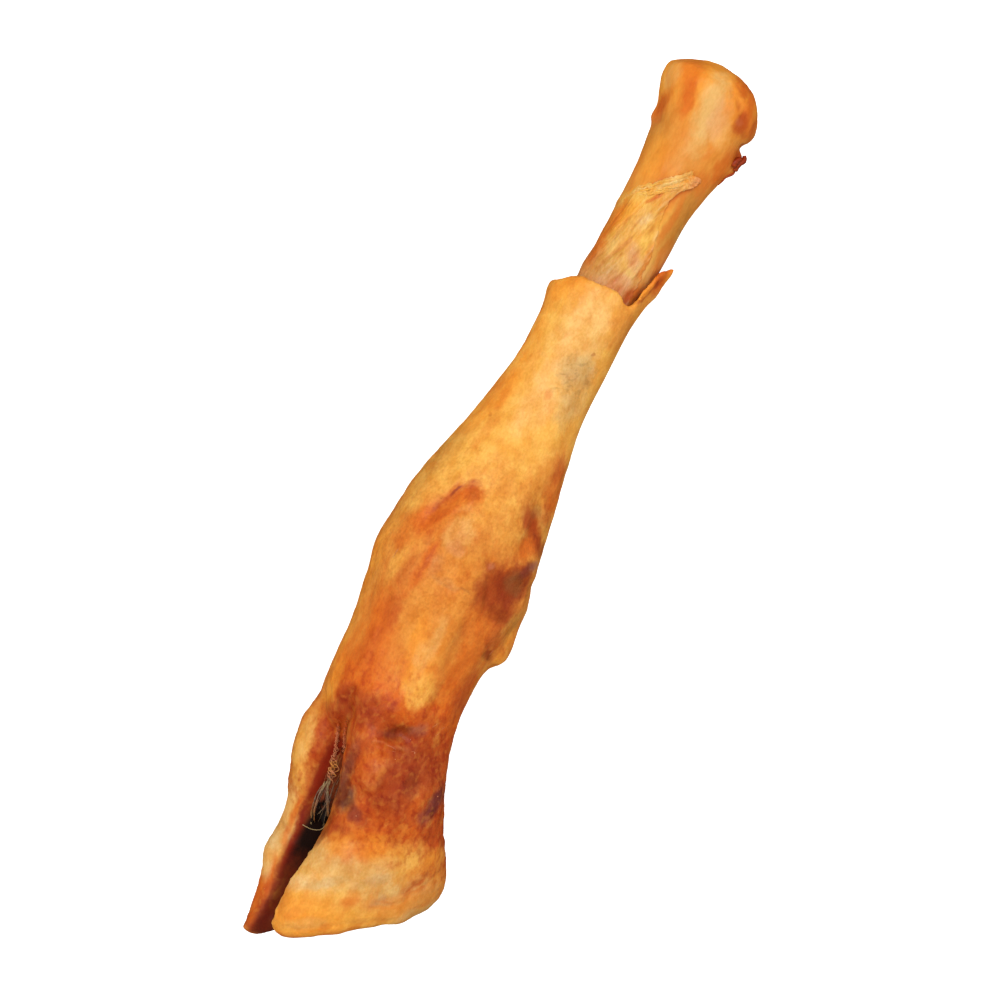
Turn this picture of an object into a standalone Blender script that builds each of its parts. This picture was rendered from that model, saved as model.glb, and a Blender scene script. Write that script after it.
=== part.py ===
"""A dried lamb leg, sold as a dog chew, lying on its inner side.

The leg is modelled straight, in its own frame: X runs from the toes (-X) to the head of the bare bone (+X),
Y from the back of the leg (-Y) to its front (+Y), and Z from its inner side (-Z), which lies on the floor,
to its outer side (+Z). The last step turns it by the small angles at which it rests and sets it on the floor.

Three pieces: the skin with the flesh and both claws, the cannon bone that runs into it, and the wool that is
left in the cleft between the claws.
"""

import math
from typing import NamedTuple

import bmesh
import bpy
import numpy as np
from mathutils import Euler, Vector, noise

MM = 0.001

# Driving dimensions of the leg, in millimetres
BONE_TOP_X = 104.7
BONE_END_X = -14.0
CUFF_X = 50.3
SKIN_WALL = 1.3
SOCKET_GAP = 0.7
WOOL_GAP = 0.35

# The side that shows is tilted from straight above, towards the front of the leg
VIEW_TILT = math.radians(32.0)
SHOWN_SIDE = np.array([0.0, math.sin(VIEW_TILT), math.cos(VIEW_TILT)])
ACROSS = np.array([0.0, math.cos(VIEW_TILT), -math.sin(VIEW_TILT)])

# How the leg lies: turned about its length and its width, with its lowest spots pressed flat
REST_ROLL = math.radians(13.9)
REST_PITCH = math.radians(2.35)
PRESSED_DEPTH = 0.3

# How finely the solids are made
POINTS_AROUND = 72
LOOP_STEP = 1.0
SOCKET_POINTS_AROUND = 40
SOCKET_STEP = 4.0
STRAND_POINTS_AROUND = 8
STRAND_LOOPS = 9
LUMP_POINTS_AROUND = 16
LUMP_LOOPS = 11
VOXEL = 0.8
WOOL_VOXEL = 0.32
SMOOTHINGS = 9
SKIN_TRIANGLES = 8400
BONE_TRIANGLES = 2600
WOOL_TRIANGLES = 1300
SEED = 5


class Ring(NamedTuple):
    """A cross-section in mm: its front and back points in the XY plane, and its widths beside middle_z.

    The side towards the leg's middle can be flatter than an ellipse, which has a flatness of 2.
    """

    front_x: float
    front_y: float
    back_x: float
    back_y: float
    outer_width: float
    cleft_width: float
    middle_z: float = 0.0
    flatness: float = 2.0


def square_on(x, front, back, half_width):
    """A cross-section square to the leg's length, and as wide on both sides."""
    return Ring(x, front, x, back, half_width, half_width)


LEG_RINGS = [
    square_on(-65.0, 1.0, -6.0, 4.0),
    square_on(-62.0, 7.0, -10.5, 10.5),
    square_on(-57.0, 12.6, -13.0, 14.4),
    square_on(-52.0, 15.4, -14.2, 15.4),
    square_on(-44.0, 16.4, -13.4, 15.2),
    square_on(-36.0, 17.2, -13.4, 15.4),
    square_on(-28.0, 18.6, -14.2, 16.3),
    square_on(-20.0, 20.4, -15.6, 17.0),
    square_on(-12.0, 20.0, -14.4, 16.7),
    square_on(-4.0, 19.2, -12.7, 15.2),
    square_on(4.0, 17.4, -11.3, 13.4),
    square_on(12.0, 15.2, -9.6, 11.8),
    square_on(20.0, 13.2, -8.3, 10.3),
    square_on(28.0, 12.0, -7.8, 9.4),
    square_on(36.0, 11.4, -7.8, 9.1),
    square_on(44.0, 11.3, -8.0, 9.2),
    square_on(CUFF_X, 10.9, -8.6, 9.4),
]

OUTER_CLAW_RINGS = [
    Ring(-44.0, 5.0, -42.0, -6.0, 3.0, 3.0, 6.0),
    Ring(-49.0, 10.6, -47.0, -11.0, 6.6, 5.0, 7.0),
    Ring(-57.0, 11.4, -55.0, -13.0, 8.2, 6.2, 7.4, 2.6),
    Ring(-64.0, 8.6, -61.8, -15.7, 9.4, 6.3, 7.6, 3.2),
    Ring(-71.0, 5.9, -67.3, -19.0, 9.7, 6.1, 7.4, 3.4),
    Ring(-78.0, 4.8, -71.8, -22.6, 9.6, 5.9, 7.2, 3.4),
    Ring(-85.0, 4.9, -76.2, -25.8, 9.9, 5.7, 7.0, 3.4),
    Ring(-92.0, 5.9, -81.4, -27.9, 9.8, 5.3, 6.6, 3.4),
    Ring(-98.0, 6.0, -86.2, -26.2, 9.2, 4.9, 6.2, 3.2),
    Ring(-102.0, 4.9, -89.6, -20.9, 8.2, 4.3, 5.6, 3.0),
    Ring(-104.3, 2.8, -94.0, -12.2, 5.6, 3.2, 5.2, 2.6),
    Ring(-103.6, -0.6, -98.2, -7.2, 2.2, 1.6, 5.0),
]

INNER_CLAW_RINGS = [
    Ring(-47.0, 6.0, -44.0, -6.0, 3.0, 3.0, 6.0),
    Ring(-52.5, 11.8, -49.0, -11.0, 6.6, 5.0, 7.0),
    Ring(-60.2, 13.4, -57.0, -13.0, 8.4, 6.4, 7.6, 2.6),
    Ring(-67.2, 12.1, -64.0, -15.0, 9.4, 6.7, 8.0, 3.2),
    Ring(-74.2, 9.4, -70.0, -18.0, 9.4, 6.5, 7.8, 3.4),
    Ring(-81.2, 6.8, -74.5, -21.4, 9.3, 6.1, 7.4, 3.4),
    Ring(-88.2, 7.0, -79.0, -24.5, 9.3, 5.7, 7.0, 3.4),
    Ring(-95.2, 6.0, -84.0, -25.6, 8.9, 4.9, 6.2, 3.4),
    Ring(-101.2, 5.2, -89.0, -24.0, 8.0, 3.9, 5.2, 3.2),
    Ring(-105.4, 5.4, -92.8, -19.0, 6.4, 2.9, 4.2, 3.0),
    Ring(-107.8, 5.4, -96.4, -11.0, 4.4, 2.3, 3.8, 2.6),
    Ring(-107.2, 2.2, -101.4, -4.2, 1.9, 1.4, 3.6),
]

OUTER_DEWCLAW_RINGS = [
    Ring(-10.0, -8.5, -10.0, -10.5, 1.2, 1.2, 6.0),
    Ring(-16.0, -7.0, -16.0, -13.4, 3.2, 3.2, 6.2),
    Ring(-24.0, -6.4, -24.0, -14.8, 4.2, 4.2, 6.5),
    Ring(-29.5, -6.0, -29.0, -15.6, 4.6, 4.6, 6.7),
    Ring(-32.8, -6.5, -31.8, -14.8, 3.8, 3.8, 6.6),
    Ring(-34.2, -8.0, -33.8, -12.0, 1.4, 1.4, 6.4),
]

BONE_RINGS = [
    square_on(BONE_END_X, 2.5, -2.5, 2.6),
    square_on(BONE_END_X + 1.0, 5.2, -5.0, 5.3),
    square_on(BONE_END_X + 4.0, 6.3, -5.7, 6.4),
    square_on(30.0, 6.4, -5.8, 6.6),
    square_on(44.0, 6.6, -6.0, 6.8),
    square_on(48.0, 7.4, -6.5, 7.0),
    square_on(52.0, 7.6, -7.2, 7.2),
    square_on(56.0, 7.3, -7.8, 7.4),
    square_on(64.0, 6.8, -8.2, 7.5),
    square_on(72.0, 7.0, -8.6, 7.8),
    square_on(80.0, 7.2, -10.2, 8.6),
    square_on(87.5, 8.2, -12.7, 10.0),
    square_on(91.2, 9.0, -11.6, 10.4),
    square_on(94.0, 10.0, -13.2, 11.2),
    square_on(97.0, 11.2, -12.3, 11.5),
    square_on(100.5, 11.3, -10.3, 10.3),
    square_on(102.8, 7.4, -7.8, 7.6),
    square_on(104.2, 4.6, -5.0, 4.4),
    square_on(BONE_TOP_X, 1.8, -1.8, 1.8),
]


class Rise(NamedTuple):
    """How the cuff's edge stands higher and wider round one angle, in degrees from the front of the leg."""

    angle: float
    reach: float
    height: float
    flare: float


CUFF_FADE = 14.0
CUFF_RISES = [
    Rise(-34.0, 34.0, -3.0, 1.5),
    Rise(132.5, 24.5, 9.7, 1.5),
    Rise(117.0, 9.0, 1.8, 0.3),
    Rise(143.0, 12.0, 2.1, 0.8),
    Rise(97.0, 13.0, -2.0, 0.0),
    Rise(60.0, 26.0, 0.6, 0.0),
    Rise(232.0, 22.0, -1.4, 0.2),
    Rise(285.0, 18.0, 1.0, 0.3),
]


class Mark(NamedTuple):
    """A rise or hollow of the skin, placed in mm along the leg and across it as the shown side is seen.

    Its reaches are along and across a line that is turned by so many degrees from the leg's length.
    """

    along: float
    across: float
    reach_along: float
    reach_across: float
    turn: float
    height: float


SKIN_MARKS = [
    # The crease round the pale swelling of the fetlock, and the swelling
    Mark(0.2, 5.6, 2.6, 1.4, -50.0, -0.9),
    Mark(-4.2, 9.0, 3.6, 1.5, -28.0, -1.0),
    Mark(-9.6, 11.0, 4.0, 1.5, -14.0, -0.8),
    Mark(-9.8, 2.2, 7.0, 5.0, -10.0, 0.9),
    Mark(-15.0, 8.2, 5.0, 3.0, 10.0, -0.6),
    # The dents at the back of the fetlock
    Mark(2.6, -7.8, 4.0, 1.8, -12.0, -0.8),
    Mark(-4.6, -9.8, 4.0, 1.8, -12.0, -1.1),
    Mark(-16.4, -9.6, 5.0, 3.2, 15.0, -1.3),
    Mark(-23.0, -9.4, 3.6, 2.4, 0.0, -0.9),
    Mark(-10.6, -11.4, 3.0, 2.0, 0.0, 0.6),
    # The sinews between the fetlock and the pastern
    Mark(-34.0, -3.4, 13.0, 2.4, 2.0, 0.8),
    Mark(-32.0, 3.2, 11.0, 1.8, 4.0, -0.6),
    Mark(-37.0, 10.4, 12.0, 2.0, 6.0, 0.6),
    Mark(-41.0, -9.2, 7.0, 2.2, -8.0, -0.6),
    # The dent and folds of the pastern, and the groove between the claws
    Mark(-53.6, -3.6, 2.2, 3.0, 0.0, -1.4),
    Mark(-57.2, -2.0, 1.2, 3.4, 12.0, 0.6),
    Mark(-59.6, -5.8, 1.1, 3.8, -10.0, -0.7),
    Mark(-64.6, -2.6, 3.0, 2.6, 0.0, 0.7),
    Mark(-69.6, -0.2, 4.5, 1.2, 0.0, -0.5),
    Mark(-55.0, 8.4, 6.5, 1.8, 8.0, -1.2),
    Mark(-49.0, 4.6, 3.2, 4.0, 0.0, 0.5),
    Mark(-62.6, -11.0, 4.5, 3.2, 0.0, -0.5),
    # The band above the horn, the horn and the folds of the heel
    Mark(-78.6, -3.4, 1.4, 5.0, -22.0, -0.6),
    Mark(-74.0, -13.4, 1.4, 5.5, -34.0, -0.5),
    Mark(-82.6, -6.8, 2.4, 7.0, -30.0, 0.5),
    Mark(-85.6, -17.0, 0.9, 4.4, -38.0, -0.7),
    Mark(-83.0, -21.0, 0.9, 3.6, -50.0, -0.6),
    Mark(-90.4, -9.0, 1.2, 5.0, -46.0, -0.4),
    Mark(-96.0, -2.0, 1.0, 3.6, -30.0, -0.35),
    Mark(-82.6, 12.0, 2.6, 2.0, 0.0, 0.5),
    # The flats of the sleeve
    Mark(38.0, 3.4, 9.0, 2.6, 4.0, 0.45),
    Mark(28.0, -3.6, 8.0, 2.0, 0.0, -0.45),
    Mark(22.0, 8.0, 8.0, 2.2, -8.0, -0.35),
    Mark(11.4, -7.2, 3.0, 1.6, -10.0, 0.5),
]
WRINKLE_HEIGHT = 0.34
WRINKLE_LENGTH = 13.0
WRINKLE_WIDTH = 5.0

# The dried membrane on the bone: how far up it reaches at each angle, and where its edges along the bone are
MEMBRANE_TOP = [
    *((-180, 66), (-110, 64), (-60, 67), (-30, 69), (1, 71.1)),
    *((24, 72.9), (52, 76), (72, 78.4), (99, 80.4)),
]
MEMBRANE_EDGE = [(48, 104), (60, 98), (64, 89), (69, 79), (72.5, 77), (75, 84), (77.5, 102), (81, 106)]
MEMBRANE_BACK_ANGLE = -128.0
MEMBRANE_HEIGHT = 0.35
MEMBRANE_ROLL_HEIGHT = 0.35
MEMBRANE_ROLL_WIDTH = 1.4
MEMBRANE_RAGS = 7
MEMBRANE_RAG_HEIGHT = 0.7
MEMBRANE_FOLDS = 6
MEMBRANE_FOLD_LENGTH = 7.0
MEMBRANE_FOLD_HEIGHT = 0.12
BONE_WRINKLE_HEIGHT = 0.15


class Lump(NamedTuple):
    """An ellipsoid on the bone, at an angle round it in degrees from its front, with half sizes in mm."""

    x: float
    angle: float
    away: float
    half_length: float
    half_height: float
    half_width: float
    turn: float


BONE_LUMPS = [
    # The spur at the left of the head, and the torn scrap at its right
    Lump(88.8, -32.0, 8.6, 2.0, 1.0, 1.8, 0.0),
    Lump(88.9, 149.0, 12.5, 1.7, 0.8, 1.3, -30.0),
    Lump(87.0, 150.0, 11.3, 2.6, 0.7, 1.5, -28.0),
]

WOOL_RINGS = [
    square_on(-61.0, 6.6, 1.0, 0.7),
    square_on(-66.0, 7.2, 0.0, 0.8),
    square_on(-72.0, 5.9, -0.5, 0.75),
    square_on(-77.0, 4.3, 0.5, 0.6),
    square_on(-79.0, 3.2, 1.6, 0.3),
]
WOOL_STRANDS = 16
STRAND_ROOT_X = (-67.0, -62.0)
STRAND_ROOT_Y = (3.0, 7.4)
STRAND_ROOT_Z = (-0.5, 0.5)
STRAND_LENGTH = (11.0, 18.0)
STRAND_LEAN_Y = (-0.16, 0.14)
STRAND_LEAN_Z = (-0.06, 0.06)
STRAND_SWAY = (-0.7, 0.7)
STRAND_RADIUS = 0.42
STRAND_TIP = 0.45


def smooth_rings(rings, step=LOOP_STEP):
    """Rings along a Catmull-Rom curve through the given ones, about one for each step of length."""
    rows = np.array(rings, float)
    padded = np.vstack([2 * rows[0] - rows[1], rows, 2 * rows[-1] - rows[-2]])
    found = []
    for i in range(1, len(padded) - 2):
        before, start, end, after = padded[i - 1 : i + 3]
        travel = (end[:4] - start[:4]).reshape(2, 2).mean(axis=0)
        count = max(1, round(float(np.linalg.norm(travel)) / step))
        for share in np.arange(count) / count:
            bend = 2 * before - 5 * start + 4 * end - after
            twist = 3 * start - before - 3 * end + after
            found.append(start + 0.5 * ((end - before) * share + bend * share**2 + twist * share**3))
    return [Ring(*row) for row in [*found, rows[-1]]]


def loop_points(ring, count=POINTS_AROUND):
    """One cross-section's points, from its front towards the outer side and round, in mm."""
    middle = np.array([(ring.front_x + ring.back_x) / 2, (ring.front_y + ring.back_y) / 2, ring.middle_z])
    forward = np.array([(ring.front_x - ring.back_x) / 2, (ring.front_y - ring.back_y) / 2, 0.0])
    angle = np.linspace(0.0, 2 * math.pi, count, endpoint=False)
    ahead, beside = np.cos(angle), np.sin(angle)
    power = np.where(beside < 0, 2.0 / ring.flatness, 1.0)
    points = middle + np.outer(np.sign(ahead) * np.abs(ahead) ** power, forward)
    width = np.where(beside < 0, ring.cleft_width, ring.outer_width)
    points[:, 2] += np.sign(beside) * np.abs(beside) ** power * width
    return points


def loft(loops):
    """The points in mm and the faces of a closed body through loops of as many points each."""
    count = len(loops[0])
    points = np.vstack([*loops, loops[0].mean(axis=0), loops[-1].mean(axis=0)])
    faces = []
    for row in range(len(loops) - 1):
        for k in range(count):
            here = row * count + k
            after = row * count + (k + 1) % count
            faces.append((here, after, after + count, here + count))
    last_row = (len(loops) - 1) * count
    first_middle = last_row + count
    for k in range(count):
        after = (k + 1) % count
        faces.append((first_middle, after, k))
        faces.append((first_middle + 1, last_row + k, last_row + after))
    return points, faces


def body_through(rings):
    """A closed body through rings."""
    return loft([loop_points(ring) for ring in smooth_rings(rings)])


def on_inner_side(body):
    """The same body, mirrored to the leg's inner side."""
    points, faces = body
    return points * (1.0, 1.0, -1.0), faces


def object_of(name, bodies):
    """One object that holds closed bodies, each as points in mm and faces."""
    points, faces = [], []
    for body_points, body_faces in bodies:
        start = sum(len(p) for p in points)
        points.append(body_points)
        faces += [tuple(k + start for k in face) for face in body_faces]
    mesh = bpy.data.meshes.new(name)
    mesh.from_pydata((np.vstack(points) * MM).tolist(), [], faces)
    work = bmesh.new()
    work.from_mesh(mesh)
    bmesh.ops.recalc_face_normals(work, faces=work.faces)
    work.to_mesh(mesh)
    work.free()
    made = bpy.data.objects.new(name, mesh)
    bpy.context.scene.collection.objects.link(made)
    return made


def apply_modifiers(obj):
    """Replaces the object's mesh with what its modifiers make of it."""
    graph = bpy.context.evaluated_depsgraph_get()
    made = bpy.data.meshes.new_from_object(obj.evaluated_get(graph))
    old = obj.data
    obj.modifiers.clear()
    obj.data = made
    made.name = obj.name
    bpy.data.meshes.remove(old)


def fuse(obj, voxel=VOXEL, smoothings=SMOOTHINGS):
    """Makes one smooth skin round the overlapping bodies of an object."""
    remesh = obj.modifiers.new("one skin", "REMESH")
    remesh.mode = "VOXEL"
    remesh.voxel_size = voxel * MM
    smooth = obj.modifiers.new("even", "SMOOTH")
    smooth.factor = 0.5
    smooth.iterations = smoothings
    apply_modifiers(obj)


def thin_out(obj, triangles):
    """Brings an object down to about so many triangles, with the most where it bends most."""
    even = obj.modifiers.new("triangles", "TRIANGULATE")
    even.quad_method = "FIXED"
    apply_modifiers(obj)
    decimate = obj.modifiers.new("fewer", "DECIMATE")
    decimate.ratio = min(1.0, triangles / len(obj.data.polygons))
    apply_modifiers(obj)


def cut(obj, cutter):
    """Takes the cutter out of the object, and removes the cutter."""
    boolean = obj.modifiers.new("cut", "BOOLEAN")
    boolean.operation = "DIFFERENCE"
    boolean.solver = "EXACT"
    boolean.object = cutter
    apply_modifiers(obj)
    bpy.data.objects.remove(cutter, do_unlink=True)


def keep_largest_body(obj):
    """Removes all of the object but its largest connected body."""
    work = bmesh.new()
    work.from_mesh(obj.data)
    left = set(work.verts)
    bodies = []
    while left:
        body = set()
        open_ends = [left.pop()]
        while open_ends:
            vertex = open_ends.pop()
            body.add(vertex)
            beside = {edge.other_vert(vertex) for edge in vertex.link_edges} & left
            left -= beside
            open_ends += beside
        bodies.append(body)
    largest = max(bodies, key=len)
    spare = [vertex for body in bodies if body is not largest for vertex in body]
    bmesh.ops.delete(work, geom=spare, context="VERTS")
    work.to_mesh(obj.data)
    work.free()


def points_of(obj):
    """The object's points in mm."""
    points = np.empty(len(obj.data.vertices) * 3, np.float32)
    obj.data.vertices.foreach_get("co", points)
    return points.reshape(-1, 3).astype(float) / MM


def set_points(obj, points):
    """Moves the object's points to these, in mm."""
    obj.data.vertices.foreach_set("co", (points * MM).astype(np.float32).ravel())
    obj.data.update()


def normals_of(obj):
    """The directions in which the object's surface faces at its points."""
    normals = np.empty(len(obj.data.vertices) * 3, np.float32)
    obj.data.vertex_normals.foreach_get("vector", normals)
    return normals.reshape(-1, 3).astype(float)


def smooth_step(low, high, value):
    """0 below low and 1 above high, with an even turn between them."""
    share = np.clip((value - low) / (high - low), 0.0, 1.0)
    return share * share * (3 - 2 * share)


def raise_cuff(loops):
    """The sleeve's loops with the cuff's uneven edge: lifted up the leg, and flared."""
    found = []
    for loop in loops:
        angle = np.arctan2(loop[:, 2], loop[:, 1])
        weight = smooth_step(CUFF_X - CUFF_FADE, CUFF_X, loop[:, 0])
        moved = loop.copy()
        for rise in CUFF_RISES:
            away = (np.degrees(angle) - rise.angle + 180.0) % 360.0 - 180.0
            share = weight * np.exp(-((away / rise.reach) ** 4))
            flare = rise.flare * share * weight**2
            moved[:, 0] += rise.height * share
            moved[:, 1] += flare * np.cos(angle)
            moved[:, 2] += flare * np.sin(angle)
        found.append(moved)
    return found


def wrinkle(points):
    """Uneven folds that run along the leg, from about -1 to 1."""
    scale = np.array([1 / WRINKLE_LENGTH, 1 / WRINKLE_WIDTH, 1 / WRINKLE_WIDTH])
    return np.array([noise.fractal(Vector(point), 0.9, 2.1, 4) for point in points * scale])


def marks_height(points, normals, marks):
    """How far each mark raises the surface, where it faces the shown side."""
    shown = smooth_step(-0.1, 0.4, normals @ SHOWN_SIDE)
    along, across = points[:, 0], points @ ACROSS
    height = np.zeros(len(points))
    for mark in marks:
        turn = math.radians(mark.turn)
        ahead, beside = along - mark.along, across - mark.across
        u = (ahead * math.cos(turn) + beside * math.sin(turn)) / mark.reach_along
        v = (beside * math.cos(turn) - ahead * math.sin(turn)) / mark.reach_across
        height += mark.height * np.exp(-(u * u) - v * v)
    return height * shown


def make_skin():
    """The skin with the flesh and both claws, before the hollow for the bone is cut."""
    dewclaw = body_through(OUTER_DEWCLAW_RINGS)
    skin = object_of(
        "skin",
        [
            loft(raise_cuff([loop_points(ring) for ring in smooth_rings(LEG_RINGS)])),
            body_through(OUTER_CLAW_RINGS),
            on_inner_side(body_through(INNER_CLAW_RINGS)),
            dewclaw,
            on_inner_side(dewclaw),
        ],
    )
    fuse(skin)
    points, normals = points_of(skin), normals_of(skin)
    height = marks_height(points, normals, SKIN_MARKS) + WRINKLE_HEIGHT * wrinkle(points)
    set_points(skin, points + normals * height[:, None])
    thin_out(skin, SKIN_TRIANGLES)
    return skin


def make_socket():
    """The cutter of the hollow in the skin: round the bone with a small gap, and wider at the cuff."""
    gap = SOCKET_GAP
    near_bone = [
        square_on(ring.front_x, ring.front_y + gap, ring.back_y - gap, ring.outer_width + gap)
        for ring in BONE_RINGS
        if BONE_END_X + 2.0 < ring.front_x < 35.0
    ]
    cuff = LEG_RINGS[-1]
    inside_cuff = (cuff.front_y - SKIN_WALL, cuff.back_y + SKIN_WALL, cuff.outer_width - SKIN_WALL)
    rings = [
        square_on(BONE_END_X - 1.5, 2.0, -2.0, 2.0),
        square_on(BONE_END_X - 0.8, 5.8, -5.6, 5.9),
        *near_bone,
        square_on(CUFF_X - 12.0, 7.6, -6.8, 7.6),
        square_on(CUFF_X, *inside_cuff),
        square_on(CUFF_X + 14.0, *inside_cuff),
    ]
    loops = [loop_points(ring, SOCKET_POINTS_AROUND) for ring in smooth_rings(rings, SOCKET_STEP)]
    return object_of("socket", [loft(raise_cuff(loops))])


def lump_body(lump):
    """A small ellipsoid on the bone."""
    turn = np.array(Euler((0.0, 0.0, math.radians(lump.turn))).to_matrix())
    around_bone = np.array(Euler((math.radians(lump.angle), 0.0, 0.0)).to_matrix())
    half_sizes = (lump.half_length, lump.half_height, lump.half_width)
    circle = np.linspace(0.0, 2 * math.pi, LUMP_POINTS_AROUND, endpoint=False)
    loops = []
    for arc in np.linspace(0.0, math.pi, LUMP_LOOPS + 2)[1:-1]:
        ahead = np.full(LUMP_POINTS_AROUND, -math.cos(arc))
        beside = np.column_stack([np.cos(circle), np.sin(circle)]) * math.sin(arc)
        loop = np.column_stack([ahead, beside]) * half_sizes
        loop = loop @ turn.T + (0.0, lump.away, 0.0)
        loops.append(loop @ around_bone.T + (lump.x, 0.0, 0.0))
    return loft(loops)


def membrane_height(points):
    """How far the dried membrane stands off the bone, with its rolled upper edge."""
    angle = np.degrees(np.arctan2(points[:, 2], points[:, 1]))
    rags = MEMBRANE_RAG_HEIGHT * np.sin(np.radians(angle * MEMBRANE_RAGS))
    top = np.interp(angle, *zip(*MEMBRANE_TOP)) + rags
    edge = np.interp(points[:, 0], *zip(*MEMBRANE_EDGE))
    below = top - points[:, 0]
    inside = np.minimum(edge - angle, angle - MEMBRANE_BACK_ANGLE)
    covered = smooth_step(-0.5, 0.9, below) * smooth_step(-4.0, 6.0, inside)
    roll = np.exp(-(((below - 1.2) / MEMBRANE_ROLL_WIDTH) ** 2)) * smooth_step(-4.0, 6.0, inside)
    turns = points[:, 0] / MEMBRANE_FOLD_LENGTH + angle / 360.0 * MEMBRANE_FOLDS
    folds = MEMBRANE_FOLD_HEIGHT * np.sin(2 * math.pi * turns) * covered
    return MEMBRANE_HEIGHT * covered + MEMBRANE_ROLL_HEIGHT * roll + folds


def make_bone():
    """The cannon bone, from its head down into the leg, with the dried membrane and scraps on it."""
    bone = object_of("bone", [body_through(BONE_RINGS), *[lump_body(lump) for lump in BONE_LUMPS]])
    fuse(bone, smoothings=3)
    points, normals = points_of(bone), normals_of(bone)
    bare = smooth_step(CUFF_X - 6.0, CUFF_X, points[:, 0])
    height = (membrane_height(points) + BONE_WRINKLE_HEIGHT * wrinkle(points)) * bare
    set_points(bone, points + normals * height[:, None])
    thin_out(bone, BONE_TRIANGLES)
    return bone


def strand_body(rng):
    """One lock of wool: a thin tapered tube that leans towards the toes."""
    start = np.array([rng.uniform(*STRAND_ROOT_X), rng.uniform(*STRAND_ROOT_Y), rng.uniform(*STRAND_ROOT_Z)])
    length = rng.uniform(*STRAND_LENGTH)
    lean = np.array([-1.0, rng.uniform(*STRAND_LEAN_Y), rng.uniform(*STRAND_LEAN_Z)])
    sway = rng.uniform(*STRAND_SWAY)
    angle = np.linspace(0.0, 2 * math.pi, STRAND_POINTS_AROUND, endpoint=False)
    loops = []
    for share in np.linspace(0.0, 1.0, STRAND_LOOPS):
        middle = start + lean * length * share + (0.0, sway * math.sin(share * math.pi), 0.0)
        radius = STRAND_RADIUS * (1.0 - (1.0 - STRAND_TIP) * share)
        zero = np.zeros(STRAND_POINTS_AROUND)
        loops.append(middle + np.column_stack([zero, radius * np.cos(angle), radius * np.sin(angle)]))
    return loft(loops)


def make_wool(skin):
    """The matted wool in the cleft, as one body that stays clear of the skin."""
    rng = np.random.default_rng(SEED)
    strands = [strand_body(rng) for _ in range(WOOL_STRANDS)]
    wool = object_of("cleft_wool", [body_through(WOOL_RINGS), *strands])
    fuse(wool, WOOL_VOXEL, 2)
    room = skin.copy()
    room.data = skin.data.copy()
    bpy.context.scene.collection.objects.link(room)
    swell = room.modifiers.new("gap", "DISPLACE")
    swell.strength = WOOL_GAP * MM
    swell.mid_level = 0.0
    apply_modifiers(room)
    cut(wool, room)
    keep_largest_body(wool)
    thin_out(wool, WOOL_TRIANGLES)
    return wool


def set_material(obj, name, colour, roughness):
    """Gives the object a plain material of its own."""
    material = bpy.data.materials.new(name)
    material.use_nodes = True
    shader = material.node_tree.nodes["Principled BSDF"]
    shader.inputs["Base Color"].default_value = (*colour, 1.0)
    shader.inputs["Roughness"].default_value = roughness
    shader.inputs["Metallic"].default_value = 0.0
    obj.data.materials.clear()
    obj.data.materials.append(material)
    for face in obj.data.polygons:
        face.material_index = 0


def lay_down(objects):
    """Turns the leg into its resting pose, presses its lowest spots flat, and centres it on the floor."""
    turn = np.array(Euler((REST_ROLL, REST_PITCH, 0.0)).to_matrix())
    placed = {obj: points_of(obj) @ turn.T for obj in objects}
    floor = min(points[:, 2].min() for points in placed.values()) + PRESSED_DEPTH
    for points in placed.values():
        points[:, 2] = np.maximum(points[:, 2], floor)
    low = np.min([points.min(axis=0) for points in placed.values()], axis=0)
    high = np.max([points.max(axis=0) for points in placed.values()], axis=0)
    origin = np.array([(low[0] + high[0]) / 2, (low[1] + high[1]) / 2, floor])
    for obj, points in placed.items():
        set_points(obj, points - origin)


def main():
    for old in list(bpy.data.objects):
        bpy.data.objects.remove(old, do_unlink=True)
    skin = make_skin()
    wool = make_wool(skin)
    cut(skin, make_socket())
    bone = make_bone()
    set_material(skin, "dried skin", (0.80, 0.36, 0.09), 0.42)
    set_material(bone, "dried bone", (0.78, 0.36, 0.11), 0.45)
    set_material(wool, "wool", (0.20, 0.12, 0.05), 0.85)
    lay_down([skin, bone, wool])


if __name__ == "__main__":
    main()
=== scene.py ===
"""Dresses the dried lamb leg: its skin and claws, the bare bone with its membrane, and the wool in the cleft.

The leg is described in its own frame, in mm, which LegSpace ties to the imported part. Fine copies of the
packed skin and bone get the folds, creases and grain of dried skin, and procedural materials lay soft stains
over them.
"""

import logging
import math
from collections.abc import Callable, Mapping, Sequence
from dataclasses import dataclass
from enum import Enum
from typing import Any, NamedTuple

import bpy
import numpy as np
from mathutils import Euler, Matrix, Vector, noise
from mathutils.bvhtree import BVHTree


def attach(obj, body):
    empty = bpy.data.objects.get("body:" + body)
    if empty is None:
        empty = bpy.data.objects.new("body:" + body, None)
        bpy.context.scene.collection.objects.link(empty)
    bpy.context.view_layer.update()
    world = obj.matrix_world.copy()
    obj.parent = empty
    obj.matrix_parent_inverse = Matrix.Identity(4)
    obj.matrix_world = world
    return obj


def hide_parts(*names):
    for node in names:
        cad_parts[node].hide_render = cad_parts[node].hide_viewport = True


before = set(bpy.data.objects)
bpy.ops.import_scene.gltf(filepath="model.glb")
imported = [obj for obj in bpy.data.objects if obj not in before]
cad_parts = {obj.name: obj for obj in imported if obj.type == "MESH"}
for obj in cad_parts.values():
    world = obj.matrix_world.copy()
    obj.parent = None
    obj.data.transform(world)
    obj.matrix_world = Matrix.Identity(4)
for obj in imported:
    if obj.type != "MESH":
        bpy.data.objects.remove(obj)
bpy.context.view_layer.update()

MM = 0.001
LOG = logging.getLogger("lamb_leg")

Colour = tuple[float, float, float, float]
Place = tuple[float, float]


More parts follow.
